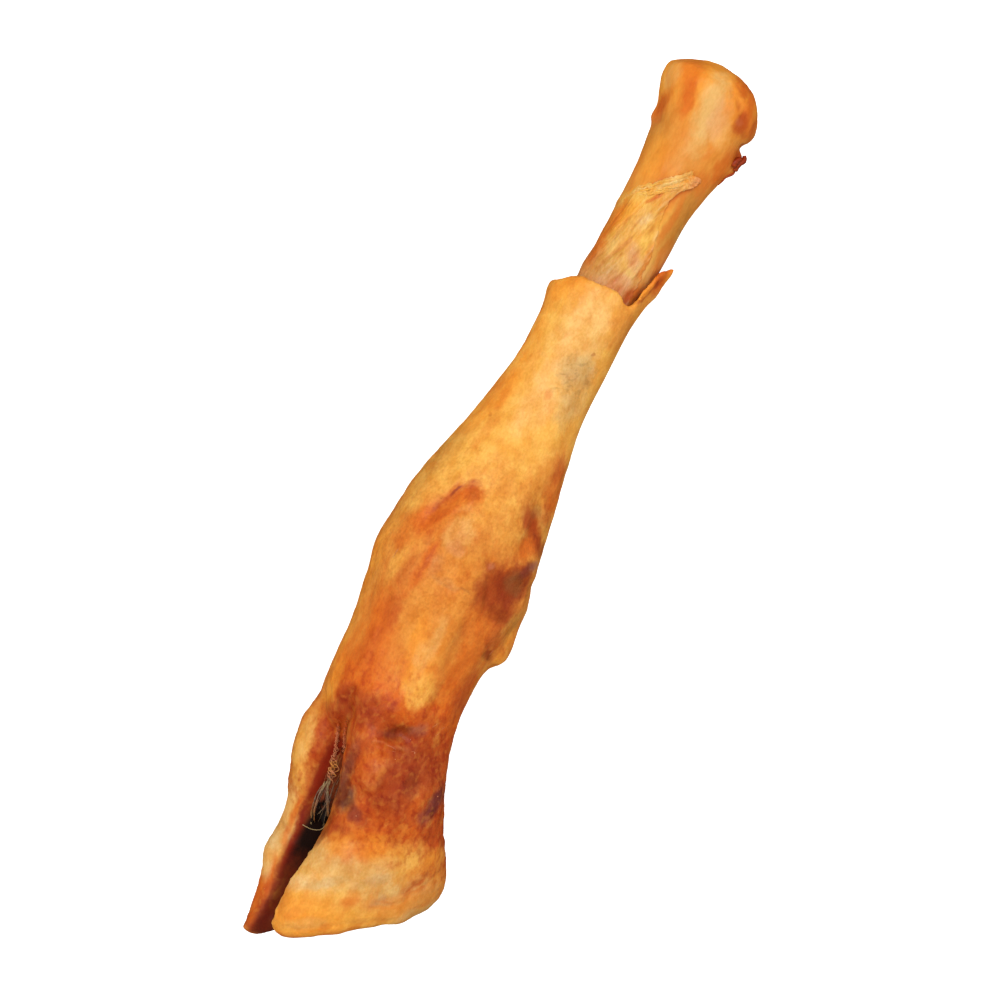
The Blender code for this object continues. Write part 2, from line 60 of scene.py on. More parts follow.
class Tint(Enum):
    """The colours of dried skin, horn, bone and wool, as they look in even light, and the black of painted
    shadow.
    """

    CREAM = "F0CF96"
    PEACH = "F0BA68"
    GOLD = "F0AE48"
    BEIGE = "DFAC60"
    AMBER = "F29A2E"
    HONEY = "E08C32"
    OCHRE = "C98430"
    GREY_TAN = "C4A068"
    OLIVE = "86582A"
    PINK = "D88A60"
    ORANGE = "DA6914"
    RUST = "BE5012"
    BRICK = "A33C0E"
    UMBER = "82360E"
    DARK = "54200E"
    PLUM = "743430"
    MAUVE = "A06450"
    # Not a colour of the leg: the black of painted shadow, in the cleft's depth and at the wool core's end in
    # it
    NIGHT = "160A05"
    BLOOD = "841C04"
    SLATE = "6C4436"
    WOOL = "9A6432"
    CURL = "D8903C"
    FLEECE = "B49A6C"
    ASH = "8C7260"

    @property
    def linear(self) -> Colour:
        """The tint as linear red, green, blue and alpha, by the sRGB curve."""
        shares = [int(self.value[i : i + 2], 16) / 255 for i in (0, 2, 4)]
        red, green, blue = (s / 12.92 if s <= 0.04045 else ((s + 0.055) / 1.055) ** 2.4 for s in shares)
        return red, green, blue, 1.0


Bands = tuple[tuple[float, Tint], ...]


@dataclass(frozen=True)
class LegSpace:
    """The leg's own frame, in mm, and how it lies in the part.

    X runs from the toes to the bone's head, Y to the front of the leg and Z to its outer side. The side that
    shows is tilted from +Z towards +Y. A shown place is (along, across, towards): along X, across it, and
    towards the viewer.
    """

    origin: tuple[float, float, float] = (1.487, 4.152, 15.379)
    roll: float = math.radians(13.9)
    pitch: float = math.radians(2.35)
    view_tilt: float = math.radians(32.0)

    @property
    def turn(self) -> np.ndarray:
        """The rotation from the leg's frame to the part's."""
        return np.array(Euler((self.roll, self.pitch, 0.0)).to_matrix())

    @property
    def shown_axes(self) -> np.ndarray:
        """The shown axes, one in each row, in the leg's frame."""
        sine, cosine = math.sin(self.view_tilt), math.cos(self.view_tilt)
        return np.array([[1.0, 0.0, 0.0], [0.0, cosine, -sine], [0.0, sine, cosine]])

    def to_leg(self, points: np.ndarray) -> np.ndarray:
        """Points of the part, in metres, as points of the leg, in mm."""
        return (points / MM - self.origin) @ self.turn

    def to_part(self, points: np.ndarray) -> np.ndarray:
        """Points of the leg, in mm, as points of the part, in metres."""
        return (points @ self.turn.T + self.origin) * MM

    def to_shown(self, points: np.ndarray) -> np.ndarray:
        """Points or directions of the leg as shown ones."""
        return points @ self.shown_axes.T

    def from_shown(self, places: np.ndarray) -> np.ndarray:
        """Shown points or directions as ones of the leg."""
        return places @ self.shown_axes


SPACE = LegSpace()

# How much a finer layer of noise counts, and how much finer it is
FRACTAL_FADE = 0.9
FRACTAL_STEP = 2.05


def smooth_step(low: float, high: float, value: np.ndarray) -> np.ndarray:
    """A soft step between two values.

    Args:
        low: Where the step starts.
        high: Where it ends, which may be below low.
        value: The values to take it of.

    Returns:
        0 before low and 1 after high, with an even turn between them.
    """
    share = np.clip((value - low) / (high - low), 0.0, 1.0)
    return share * share * (3 - 2 * share)


def band(value: np.ndarray, low: float, high: float, fade: float) -> np.ndarray:
    """A window between two values, with soft edges.

    Args:
        value: The values to take it of.
        low: The window's lower edge.
        high: Its upper edge.
        fade: Half the width of each edge.

    Returns:
        1 inside the window and 0 outside it.
    """
    return smooth_step(low - fade, low + fade, value) * smooth_step(high + fade, high - fade, value)


def rough(
    points: np.ndarray,
    sizes: float | Sequence[float],
    octaves: int = 3,
    seed: float = 0.0,
) -> np.ndarray:
    """Fractal noise at points of the leg.

    Args:
        points: The points in mm.
        sizes: About how large its features are, in mm, or so along each axis.
        octaves: How many finer layers it has.
        seed: Moves the pattern, so that layers differ.

    Returns:
        One value for each point, from about -1 to 1.
    """
    scaled = points / np.asarray(sizes, float) + seed
    values = (noise.fractal(point, FRACTAL_FADE, FRACTAL_STEP, octaves) for point in scaled.tolist())
    return np.fromiter(values, float, len(scaled))


def in_columns(first: np.ndarray, second: np.ndarray | float = 0.0) -> np.ndarray:
    """Points that are made of one or two numbers, for noise that depends on those alone."""
    return np.column_stack(np.broadcast_arrays(first, second, 0.0))


def angle_round(points: np.ndarray) -> np.ndarray:
    """The angles of the leg's points round its axis, in degrees from its front."""
    return np.degrees(np.arctan2(points[:, 2], points[:, 1]))


def rounded(path: np.ndarray, rounds: int) -> np.ndarray:
    """Rounds a path's corners and keeps its ends.

    Args:
        path: The path's points.
        rounds: How many times they are rounded.

    Returns:
        The rounded path.
    """
    path = path.copy()
    for _ in range(rounds):
        path[1:-1] = (path[:-2] + 2 * path[1:-1] + path[2:]) / 4
    return path


class Swell(NamedTuple):
    """A rise or hollow of the shown side: a soft ellipse, its height in mm, and its turn in degrees."""

    along: float
    across: float
    reach_along: float
    reach_across: float
    height: float
    turn: float = 0.0

    def heights(self, shown: np.ndarray) -> np.ndarray:
        """How far it raises the surface.

        Args:
            shown: The surface's points as shown ones.

        Returns:
            The heights in mm.
        """
        turn = math.radians(self.turn)
        ahead, beside = shown[:, 0] - self.along, shown[:, 1] - self.across
        u = (ahead * math.cos(turn) + beside * math.sin(turn)) / self.reach_along
        v = (beside * math.cos(turn) - ahead * math.sin(turn)) / self.reach_across
        return self.height * np.exp(-(u * u) - v * v)


class Crease(NamedTuple):
    """A narrow groove, or a ridge where its height is above 0, along a path on the shown side."""

    width: float
    height: float
    path: tuple[Place, ...]

    def heights(self, shown: np.ndarray) -> np.ndarray:
        """How far it raises the surface.

        Args:
            shown: The surface's points as shown ones.

        Returns:
            The heights in mm.
        """
        nearest = np.full(len(shown), np.inf)
        for start, end in zip(self.path, self.path[1:]):
            run = np.subtract(end, start)
            offset = shown[:, :2] - start
            share = np.clip(offset @ run / (run @ run), 0.0, 1.0)
            nearest = np.minimum(nearest, np.hypot(*(offset - np.outer(share, run)).T))
        return self.height * np.exp(-((nearest / self.width) ** 2))


class Stain(NamedTuple):
    """A soft patch of colour on the shown side.

    Its place and reaches are in mm, and its turn in degrees. Its strength and its fade are shares, up to 1.
    """

    tint: Tint
    along: float
    across: float
    reach_along: float
    reach_across: float
    strength: float
    turn: float = 0.0
    fade: float = 0.56
    reach_in: float = 8.0


def line_stains(tint: Tint, width: float, strength: float, *path: Place) -> tuple[Stain, ...]:
    """Narrow stains that follow a path on the shown side.

    Args:
        tint: Their colour.
        width: How wide they are, in mm.
        strength: How strongly they cover.
        path: The path's places.

    Returns:
        One stain for each stretch of the path.
    """
    stains = []
    for start, end in zip(path, path[1:]):
        ahead, beside = end[0] - start[0], end[1] - start[1]
        length = math.hypot(ahead, beside)
        middle = (start[0] + end[0]) / 2, (start[1] + end[1]) / 2
        turn = math.degrees(math.atan2(beside, ahead))
        stains.append(Stain(tint, *middle, 0.5 * length + width, width, strength, turn))
    return tuple(stains)


def points_of(mesh: bpy.types.Mesh) -> np.ndarray:
    """The mesh's points, in metres.

    Args:
        mesh: The mesh.

    Returns:
        One point in each row.
    """
    points = np.empty(len(mesh.vertices) * 3, np.float32)
    mesh.vertices.foreach_get("co", points)
    return points.reshape(-1, 3).astype(float)


def normals_of(mesh: bpy.types.Mesh) -> np.ndarray:
    """The directions in which the mesh's surface faces at its points.

    Args:
        mesh: The mesh.

    Returns:
        One direction in each row, of length 1.
    """
    normals = np.empty(len(mesh.vertices) * 3, np.float32)
    mesh.vertex_normals.foreach_get("vector", normals)
    return normals.reshape(-1, 3).astype(float)


def edges_of(mesh: bpy.types.Mesh) -> np.ndarray:
    """The two points of each edge of the mesh.

    Args:
        mesh: The mesh.

    Returns:
        The indices of two points in each row.
    """
    edges = np.empty(len(mesh.edges) * 2, np.int32)
    mesh.edges.foreach_get("vertices", edges)
    return edges.reshape(-1, 2)


def evened(points: np.ndarray, edges: np.ndarray, shares: np.ndarray, rounds: int) -> np.ndarray:
    """Points moved again and again towards the middle of their neighbours.

    Args:
        points: The points.
        edges: The two points of each edge.
        shares: How far each point moves in a round, as a share of the way.
        rounds: How many rounds there are.

    Returns:
        The moved points.
    """
    count = len(points)
    first, second = edges.T
    neighbours = np.bincount(edges.ravel(), minlength=count)[:, None]
    for _ in range(rounds):
        totals = np.empty_like(points)
        for axis, values in enumerate(points.T):
            totals[:, axis] = np.bincount(first, values[second], count)
            totals[:, axis] += np.bincount(second, values[first], count)
        points = points + shares[:, None] * (totals / neighbours - points)
    return points


def set_points(mesh: bpy.types.Mesh, points: np.ndarray) -> None:
    """Moves the mesh's points to these, in metres."""
    mesh.vertices.foreach_set("co", points.astype(np.float32).ravel())
    mesh.update()


def apply_modifiers(piece: bpy.types.Object) -> None:
    """Replaces the piece's mesh with what its modifiers make of it.

    Args:
        piece: The piece.
    """
    graph = bpy.context.evaluated_depsgraph_get()
    made = bpy.data.meshes.new_from_object(piece.evaluated_get(graph))
    old = piece.data
    piece.modifiers.clear()
    piece.data = made
    made.name = piece.name
    bpy.data.meshes.remove(old)


def new_piece(name: str, points: np.ndarray, faces: Sequence[Sequence[int]]) -> bpy.types.Object:
    """A smooth mesh piece.

    Args:
        name: The piece's name.
        points: Its points in the leg's frame, in mm.
        faces: Its faces, as indices of points.

    Returns:
        The piece, linked to the scene.
    """
    mesh = bpy.data.meshes.new(name)
    mesh.from_pydata(SPACE.to_part(points).tolist(), [], faces)
    mesh.shade_smooth()
    piece = bpy.data.objects.new(name, mesh)
    bpy.context.scene.collection.objects.link(piece)
    return piece


def fine_copy(
    node: str,
    name: str,
    voxel: float,
    rounds: int,
    evenness: Callable[[np.ndarray], np.ndarray] | None = None,
) -> bpy.types.Object:
    """A fine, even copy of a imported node's mesh.

    Args:
        node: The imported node.
        name: The new piece's name.
        voxel: The size of its faces, in mm.
        rounds: How many times it is smoothed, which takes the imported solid's facets away.
        evenness: How strongly, from 0 to 1, for points of the leg. Left out, it is 1 everywhere.

    Returns:
        The piece, linked to the scene.
    """
    piece = bpy.data.objects.new(name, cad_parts[node].data.copy())
    bpy.context.scene.collection.objects.link(piece)
    remesh = piece.modifiers.new("fine", "REMESH")
    remesh.mode = "VOXEL"
    remesh.voxel_size = voxel * MM
    apply_modifiers(piece)
    points = points_of(piece.data)
    strength = np.ones(len(points)) if evenness is None else evenness(SPACE.to_leg(points))
    edges, shares = edges_of(piece.data), 0.5 * strength
    even = evened(points, edges, shares, rounds)
    set_points(piece.data, even + evened(points - even, edges, shares, rounds))
    piece.data.shade_smooth()
    return piece


def note_relief(mesh: bpy.types.Mesh, heights: np.ndarray) -> None:
    """Notes how far the mesh's points are raised, in mm, for its material, which paints shade in the hollows
    and highlights on the rises from it.
    """
    noted = mesh.attributes.new("relief", "FLOAT", "POINT")
    noted.data.foreach_set("value", heights.astype(np.float32))


def raise_surface(piece: bpy.types.Object, heights: Callable[[np.ndarray, np.ndarray], np.ndarray]) -> None:
    """Raises a piece's surface and notes how far, for its material.

    Args:
        piece: The piece.
        heights: Gives the heights in mm for the leg's points and normals.
    """
    mesh = piece.data
    points = SPACE.to_leg(points_of(mesh))
    normals = normals_of(mesh) @ SPACE.turn
    height = heights(points, normals)
    moved = SPACE.to_part(points + normals * height[:, None])
    moved[:, 2] = np.maximum(moved[:, 2], 0.0)
    set_points(mesh, moved)
    note_relief(mesh, height)


class Surface:
    """The surface of one piece or more, for finding places on it."""

    # How far away a search starts, in mm, and how a place beside the leg is brought in to it
    VIEWER_DISTANCE = 60.0
    OUTSIDE_DISTANCE = 40.0
    INWARD_STEP = 0.97
    MOST_STEPS = 80

    def __init__(self, *pieces: bpy.types.Object) -> None:
        """Takes the pieces' meshes as they are now."""
        points: list[list[float]] = []
        faces: list[tuple[int, ...]] = []
        for piece in pieces:
            first = len(points)
            faces += [tuple(k + first for k in face.vertices) for face in piece.data.polygons]
            points += SPACE.to_leg(points_of(piece.data)).tolist()
        self.tree = BVHTree.FromPolygons(points, faces)

    def shown_spot(self, along: float, across: float) -> tuple[np.ndarray, np.ndarray]:
        """The spot that shows at a place.

        Args:
            along: The place along the leg, in mm.
            across: The place across it, in mm. A place beside the leg is brought in to its edge.

        Returns:
            The spot and the surface's direction there, in the leg's frame.
        """
        inwards = Vector(SPACE.from_shown(np.array([0.0, 0.0, -1.0])))
        for _ in range(self.MOST_STEPS):
            start = SPACE.from_shown(np.array([along, across, self.VIEWER_DISTANCE]))
            spot, normal, _, _ = self.tree.ray_cast(Vector(start), inwards)
            if spot is not None:
                return np.array(spot), np.array(normal)
            across *= self.INWARD_STEP
        return np.array([along, 0.0, 0.0]), SPACE.from_shown(np.array([0.0, 0.0, 1.0]))

    def from_outside(self, x: float, angle: float) -> tuple[np.ndarray, np.ndarray]:
        """The spot where a line from outside towards the leg's axis meets the surface.

        Args:
            x: The place along the leg, in mm.
            angle: The angle round it, in degrees from its front.

        Returns:
            The spot, and the direction away from the axis.
        """
        away = np.array([0.0, math.cos(math.radians(angle)), math.sin(math.radians(angle))])
        start = Vector(away * self.OUTSIDE_DISTANCE + (x, 0.0, 0.0))
        spot, _, _, _ = self.tree.ray_cast(start, Vector(-away))
        return np.array(spot), away

    def path_round(self, places: np.ndarray, angles: np.ndarray, lifts: np.ndarray) -> np.ndarray:
        """A path over the surface.

        Args:
            places: Its places along the leg, in mm.
            angles: Its angles round the leg, in degrees.
            lifts: How far it stands off the surface, in mm.

        Returns:
            The path's points in the leg's frame.
        """
        spots = [self.from_outside(x, angle) for x, angle in zip(places, angles)]
        return np.array([spot + away * lift for (spot, away), lift in zip(spots, lifts)])


# A direction that no path follows, from which a tube's sides are worked out
TUBE_UP = (0.31, 0.27, 0.91)


def tube(path: np.ndarray, radii: np.ndarray, sides: int) -> tuple[np.ndarray, list[tuple[int, ...]]]:
    """A closed tube along a path.

    Args:
        path: The path's points.
        radii: The tube's radius at each.
        sides: How many sides it has.

    Returns:
        Its points and faces.
    """
    ahead = np.gradient(path, axis=0)
    ahead /= np.linalg.norm(ahead, axis=1)[:, None]
    beside = np.cross(ahead, TUBE_UP)
    beside /= np.linalg.norm(beside, axis=1)[:, None]
    above = np.cross(beside, ahead)
    angles = np.arange(sides) * 2 * math.pi / sides
    rings = np.cos(angles)[:, None, None] * beside + np.sin(angles)[:, None, None] * above
    points = (path + rings * radii[:, None]).transpose(1, 0, 2).reshape(-1, 3)
    faces: list[tuple[int, ...]] = [tuple(range(sides))]
    for row in range(len(path) - 1):
        for k in range(sides):
            here, after = row * sides + k, row * sides + (k + 1) % sides
            faces.append((here, here + sides, after + sides, after))
    faces.append(tuple(range(len(points) - 1, len(points) - 1 - sides, -1)))
    return points, faces


class Bodies:
    """Many small closed bodies that become one piece."""

    def __init__(self) -> None:
        """Starts with none."""
        self.points: list[np.ndarray] = []
        self.faces: list[tuple[int, ...]] = []
        self.count = 0

    def add(self, points: np.ndarray, faces: Sequence[tuple[int, ...]]) -> None:
        """Adds one body.

        Args:
            points: Its points in the leg's frame, in mm.
            faces: Its faces, as indices of its own points.
        """
        self.points.append(points)
        self.faces += [tuple(k + self.count for k in face) for face in faces]
        self.count += len(points)

    def piece(self, name: str) -> bpy.types.Object:
        """All the bodies as one piece of that name."""
        return new_piece(name, np.vstack(self.points), self.faces)


class Signal:
    """A number, colour or vector that varies over a surface, with maths on numbers as Python expressions."""

    def __init__(self, board: "Board", socket: bpy.types.NodeSocket) -> None:
        """Wraps one output socket of a material's nodes."""
        self.board = board
        self.socket = socket

    def _maths(self, operation: str, *values: "Signal | float") -> "Signal":
        """One Math node on the values."""
        return self.board.node("ShaderNodeMath", {"operation": operation}, dict(enumerate(values)))

    def __add__(self, other: "Signal | float") -> "Signal":
        """This plus the other."""
        return self._maths("ADD", self, other)

    def __radd__(self, other: float) -> "Signal":
        """The other plus this."""
        return self._maths("ADD", other, self)

    def __sub__(self, other: "Signal | float") -> "Signal":
        """This less the other."""
        return self._maths("SUBTRACT", self, other)

    def __rsub__(self, other: float) -> "Signal":
        """The other less this."""
        return self._maths("SUBTRACT", other, self)

    def __mul__(self, other: "Signal | float") -> "Signal":
        """This times the other."""
        return self._maths("MULTIPLY", self, other)

    def __rmul__(self, other: float) -> "Signal":
        """The other times this."""
        return self._maths("MULTIPLY", other, self)

    def step(self, low: float, high: float) -> "Signal":
        """A soft step between two values.

        Args:
            low: Where the step starts.
            high: Where it ends, which may be below low.

        Returns:
            0 before low and 1 after high.
        """
        # This kind of step stays from 0 to 1 by itself, and its clamp would add a node to every stain
        settings = {"interpolation_type": "SMOOTHSTEP", "clamp": False}
        values = {"Value": self, "From Min": low, "From Max": high}
        return self.board.node("ShaderNodeMapRange", settings, values)


class Board:
    """The nodes of one material."""

    # The numbers of a Mix node's sockets for colours
    MIX_FIRST = 6
    MIX_SECOND = 7
    MIX_RESULT = 2

    def __init__(self, name: str) -> None:
        """Makes the material, with its shader and output left in.

        Args:
            name: The material's name.
        """
        self.material = bpy.data.materials.new(name)
        self.material.use_nodes = True
        self.tree = self.material.node_tree
        self.shader = self.tree.nodes["Principled BSDF"]

    def node(
        self,
        kind: str,
        settings: Mapping[str, Any] | None = None,
        inputs: Mapping[str | int, Any] | None = None,
        output: int | str = 0,
    ) -> Signal:
        """Adds one node.

        Args:
            kind: The node's type.
            settings: Its own settings, which are set first. "stops" are a ramp's, as places and tints.
            inputs: The values or signals of its sockets, by name or number.
            output: The socket that is wanted, by name or number.

        Returns:
            That socket's signal.
        """
        made = self.tree.nodes.new(kind)
        for name, value in (settings or {}).items():
            if name == "stops":
                self._set_stops(made.color_ramp, value)
            else:
                setattr(made, name, value)
        for name, value in (inputs or {}).items():
            self._feed(made.inputs[name], value)
        return Signal(self, made.outputs[output])

    def _feed(self, socket: bpy.types.NodeSocket, value: Any) -> None:
        """Links a signal to an input socket, or sets its value or tint.

        Args:
            socket: The input socket.
            value: A signal, number, vector, colour or tint.
        """
        if isinstance(value, Signal):
            self.tree.links.new(value.socket, socket)
        else:
            socket.default_value = value.linear if isinstance(value, Tint) else value

    @staticmethod
    def _set_stops(ramp: bpy.types.ColorRamp, stops: Sequence[tuple[float, Tint]]) -> None:
        """Gives a ramp its stops.

        Args:
            ramp: The ramp.
            stops: The places from 0 to 1, in order, and their tints.
        """
        while len(ramp.elements) < len(stops):
            ramp.elements.new(1.0)
        for element, (place, tint) in zip(ramp.elements, stops):
            element.position = place
            element.color = tint.linear

    def shown_place(self) -> Signal:
        """The place on the surface as a shown place of the leg, in mm.

        Returns:
            The place, for the other nodes to read.
        """
        axes = Matrix((SPACE.shown_axes @ SPACE.turn.T).tolist())
        shift = -(axes @ Vector(SPACE.origin))
        here = self.node("ShaderNodeTexCoord", output="Object")
        values = {"Vector": here, "Location": shift, "Rotation": axes.to_euler(), "Scale": (1 / MM,) * 3}
        return self.node("ShaderNodeMapping", {"vector_type": "POINT"}, values)

    def axis(self, place: Signal, name: str = "X") -> Signal:
        """One axis of a shown place: X is along, Y across and Z towards the viewer."""
        return self.node("ShaderNodeSeparateXYZ", None, {0: place}, name)

    def banded(self, along: Signal, bands: Bands) -> Signal:
        """Colours that change along the leg.

        Args:
            along: The place along the leg, in mm.
            bands: The places in mm and their tints.

        Returns:
            The colour, which runs evenly from tint to tint.
        """
        low, high = bands[0][0], bands[-1][0]
        stops = [((spot - low) / (high - low), tint) for spot, tint in bands]
        return self.node("ShaderNodeValToRGB", {"stops": stops}, {0: (along - low) * (1 / (high - low))})

    def noise(
        self,
        place: Signal,
        size: float,
        detail: float = 3.0,
        output: int = 0,
        lacunarity: float = 2.0,
    ) -> Signal:
        """Noise with features of about a size.

        Args:
            place: Where it is read.
            size: The features' size, in the place's units.
            detail: How many finer layers it has.
            output: 0 for one number, 1 for three that differ.
            lacunarity: How much finer each layer is.

        Returns:
            The noise, from 0 to 1.
        """
        values = {"Vector": place, "Scale": 1 / size, "Detail": detail, "Lacunarity": lacunarity}
        return self.node("ShaderNodeTexNoise", None, values, output)

    def vector(self, operation: str, *values: Any) -> Signal:
        """One Vector Math node on the values."""
        return self.node("ShaderNodeVectorMath", {"operation": operation}, dict(enumerate(values)))

    def warped(self, place: Signal, size: float, reach: float) -> Signal:
        """The place moved unevenly, by up to about the reach, with turns of about the size."""
        shift = self.vector("SUBTRACT", self.noise(place, size, 2.0, 1), (0.5, 0.5, 0.5))
        return self.vector("MULTIPLY_ADD", shift, (2 * reach,) * 3, place)

    def stretched(self, place: Signal, sizes: tuple[float, float, float], turn: float = 0.0) -> Signal:
        """The place measured in sizes along axes that are turned by so many degrees on the shown side."""
        values = {"Vector": place, "Rotation": (0.0, 0.0, math.radians(turn)), "Scale": sizes}
        return self.node("ShaderNodeMapping", {"vector_type": "TEXTURE"}, values)

    def mix(self, share: "Signal | float", first: Any, second: Any, blend: str = "MIX") -> Signal:
        """Mixes two colours.

        Args:
            share: How much of the second shows.
            first: The first colour.
            second: The second colour or tint.
            blend: How the second is laid on.

        Returns:
            The mixed colour.
        """
        settings = {"data_type": "RGBA", "blend_type": blend}
        sockets = {0: share, self.MIX_FIRST: first, self.MIX_SECOND: second}
        return self.node("ShaderNodeMix", settings, sockets, self.MIX_RESULT)

    def set(self, **values: Any) -> None:
        """Sets or links the shader's sockets, named with _ for a space."""
        for name, value in values.items():
            self._feed(self.shader.inputs[name.replace("_", " ")], value)


class Window(NamedTuple):
    """A stretch with soft ends, each given by where it starts and where it is full."""

    first: Place
    second: Place

    def share(self, at: Signal) -> Signal:
        """How far places are inside it, from 0 to 1."""
        return at.step(*self.first) * at.step(*self.second)


# The turn that makes a pattern run level in the picture, in degrees
LEVEL_TURN = 27.0

# What the skin's lines, blotches and sand multiply its colour by
LINE_SHADE = (0.66, 0.30, 0.18, 1.0)
BLOTCH_SHADE = (0.80, 0.44, 0.26, 1.0)
SAND_SHADE = (0.76, 0.62, 0.46, 1.0)


@dataclass(frozen=True)
class SkinMarks:
    """What only the skin has: blotches, flecks and sand in their places, and the dark red and painted shade
    between the claws.

    Every soft end is a place where it starts and one where it is full, in mm. Those along and across are of
    the shown side. Those of the cleft's walls and front are of the leg's own frame.
    """

    sleeve_along: Window = Window((23.0, 28.0), (37.0, 33.5))
    sleeve_across: Window = Window((2.6, 0.4), (-7.5, -5.0))
    joint_along: Window = Window((12.0, 4.0), (-38.0, -26.0))
    pastern_along: Window = Window((-34.0, -50.0), (-86.0, -74.0))
    pastern_left: Place = (13.4, 10.8)
    horn_along: Place = (-76.0, -84.0)
    cleft_along: Place = (-58.0, -63.0)
    cleft_front: Place = (9.5, 7.5)
    near_wall: Place = (1.9, 1.2)
    far_wall: Place = (-3.7, -1.9)
    lean_along: Window = Window((-77.0, -83.0), (-96.0, -86.0))
    lean: float = 0.8
    dusk_front: Place = (5.6, 3.8)
    deep_shadow_front: Place = (5.6, 3.4)
    deep_shadow_along: Place = (-92.0, -85.0)
    deep_shadow_wall: Place = (-3.8, -2.4)

    def blotched(self, board: Board, colour: Signal, place: Signal) -> Signal:
        """The colour with lines, blotches and pale spots, flecks on the sleeve and sand on the joint.

        Args:
            board: The material's nodes.
            colour: The colour so far.
            place: The shown place.

        Returns:
            The new colour.
        """
        along, across = board.axis(place), board.axis(place, "Y")
        lines = board.noise(board.stretched(place, (1.25, 0.9, 1.0), LEVEL_TURN), 1.2, 7.0).step(0.45, 0.70)
        blotches = board.noise(place, 2.6, 6.0).step(0.48, 0.70)
        pale = board.noise(place, 1.7, 6.0).step(0.52, 0.68)
        flecks = board.noise(board.stretched(place, (0.7, 1.3, 1.0), LEVEL_TURN), 1.5, 4.0).step(0.50, 0.66)
        sand = board.noise(place, 0.9, 6.0).step(0.44, 0.64)
        pastern = self.pastern_along.share(along) * across.step(*self.pastern_left)
        horn = along.step(*self.horn_along)
        sleeve = self.sleeve_along.share(along) * self.sleeve_across.share(across)
        joint = self.joint_along.share(along)
        colour = board.mix(lines * (pastern * 0.5 + 0.12), colour, LINE_SHADE, "MULTIPLY")
        colour = board.mix(blotches * (pastern * 0.5 + 0.16), colour, BLOTCH_SHADE, "MULTIPLY")
        colour = board.mix(pale * (horn * 0.3 + pastern * 0.22), colour, Tint.HONEY)
        colour = board.mix(flecks * sleeve * 0.3, colour, Tint.OLIVE)
        return board.mix(sand * joint * 0.42, colour, SAND_SHADE, "MULTIPLY")

    def cleft_red_and_shade(self, board: Board, colour: Signal, place: Signal, mottle: Signal) -> tuple[Signal, Signal]:
        """The colour with the claws' dark red between them, partly their own colour and partly painted shade, a
        painted dusk over it and the cleft's black depth painted as shadow.

        Args:
            board: The material's nodes.
            colour: The colour so far.
            place: The shown place.
            mottle: Noise that makes the edges uneven.

        Returns:
            The new colour, and how far a spot lies between the claws, from 0 to 1.
        """
        along, across, towards = (board.axis(place, name) for name in "XYZ")
        sine, cosine = math.sin(SPACE.view_tilt), math.cos(SPACE.view_tilt)
        outward = towards * cosine - across * sine
        forward = across * cosine + towards * sine
        uneven = mottle - 0.5
        leaning = outward + self.lean_along.share(along) * self.lean
        walls = (outward + uneven * 1.2).step(*self.near_wall) * leaning.step(*self.far_wall)
        between = walls * along.step(*self.cleft_along) * forward.step(*self.cleft_front)
        dusk = between * forward.step(*self.dusk_front)
        deep_shadow = between * forward.step(*self.deep_shadow_front) * (along + uneven * 6.0).step(*self.deep_shadow_along)
        # Painted shade between the claws: the walls' red is partly their own colour and partly shade, and the
        # dusk and the black depth are painted shadow
        colour = board.mix(between * 0.94, colour, Tint.BLOOD)
        colour = board.mix(dusk * 0.55, colour, Tint.NIGHT)
        return board.mix(deep_shadow * outward.step(*self.deep_shadow_wall) * 0.96, colour, Tint.NIGHT), between


# A stain's size against its reaches, how uneven its edge is, and the nearness at which the edge lies
STAIN_SPREAD = 1.6
STAIN_UNEVENNESS = 0.45
STAIN_EDGE = 0.47

# How far a tissue's roughness varies
ROUGHNESS_SPREAD = 0.34

# What the low and the high spots of a tissue's flecks and grain, and of hair, multiply its colour by
FLECK_TONES = ((0.88, 0.70, 0.42, 1.0), (1.09, 1.22, 1.56, 1.0))
GRAIN_TONES = ((0.88, 0.80, 0.64, 1.0), (1.10, 1.15, 1.28, 1.0))
HAIR_TONES = ((0.60, 0.55, 0.50, 1.0), (1.30, 1.30, 1.30, 1.0))


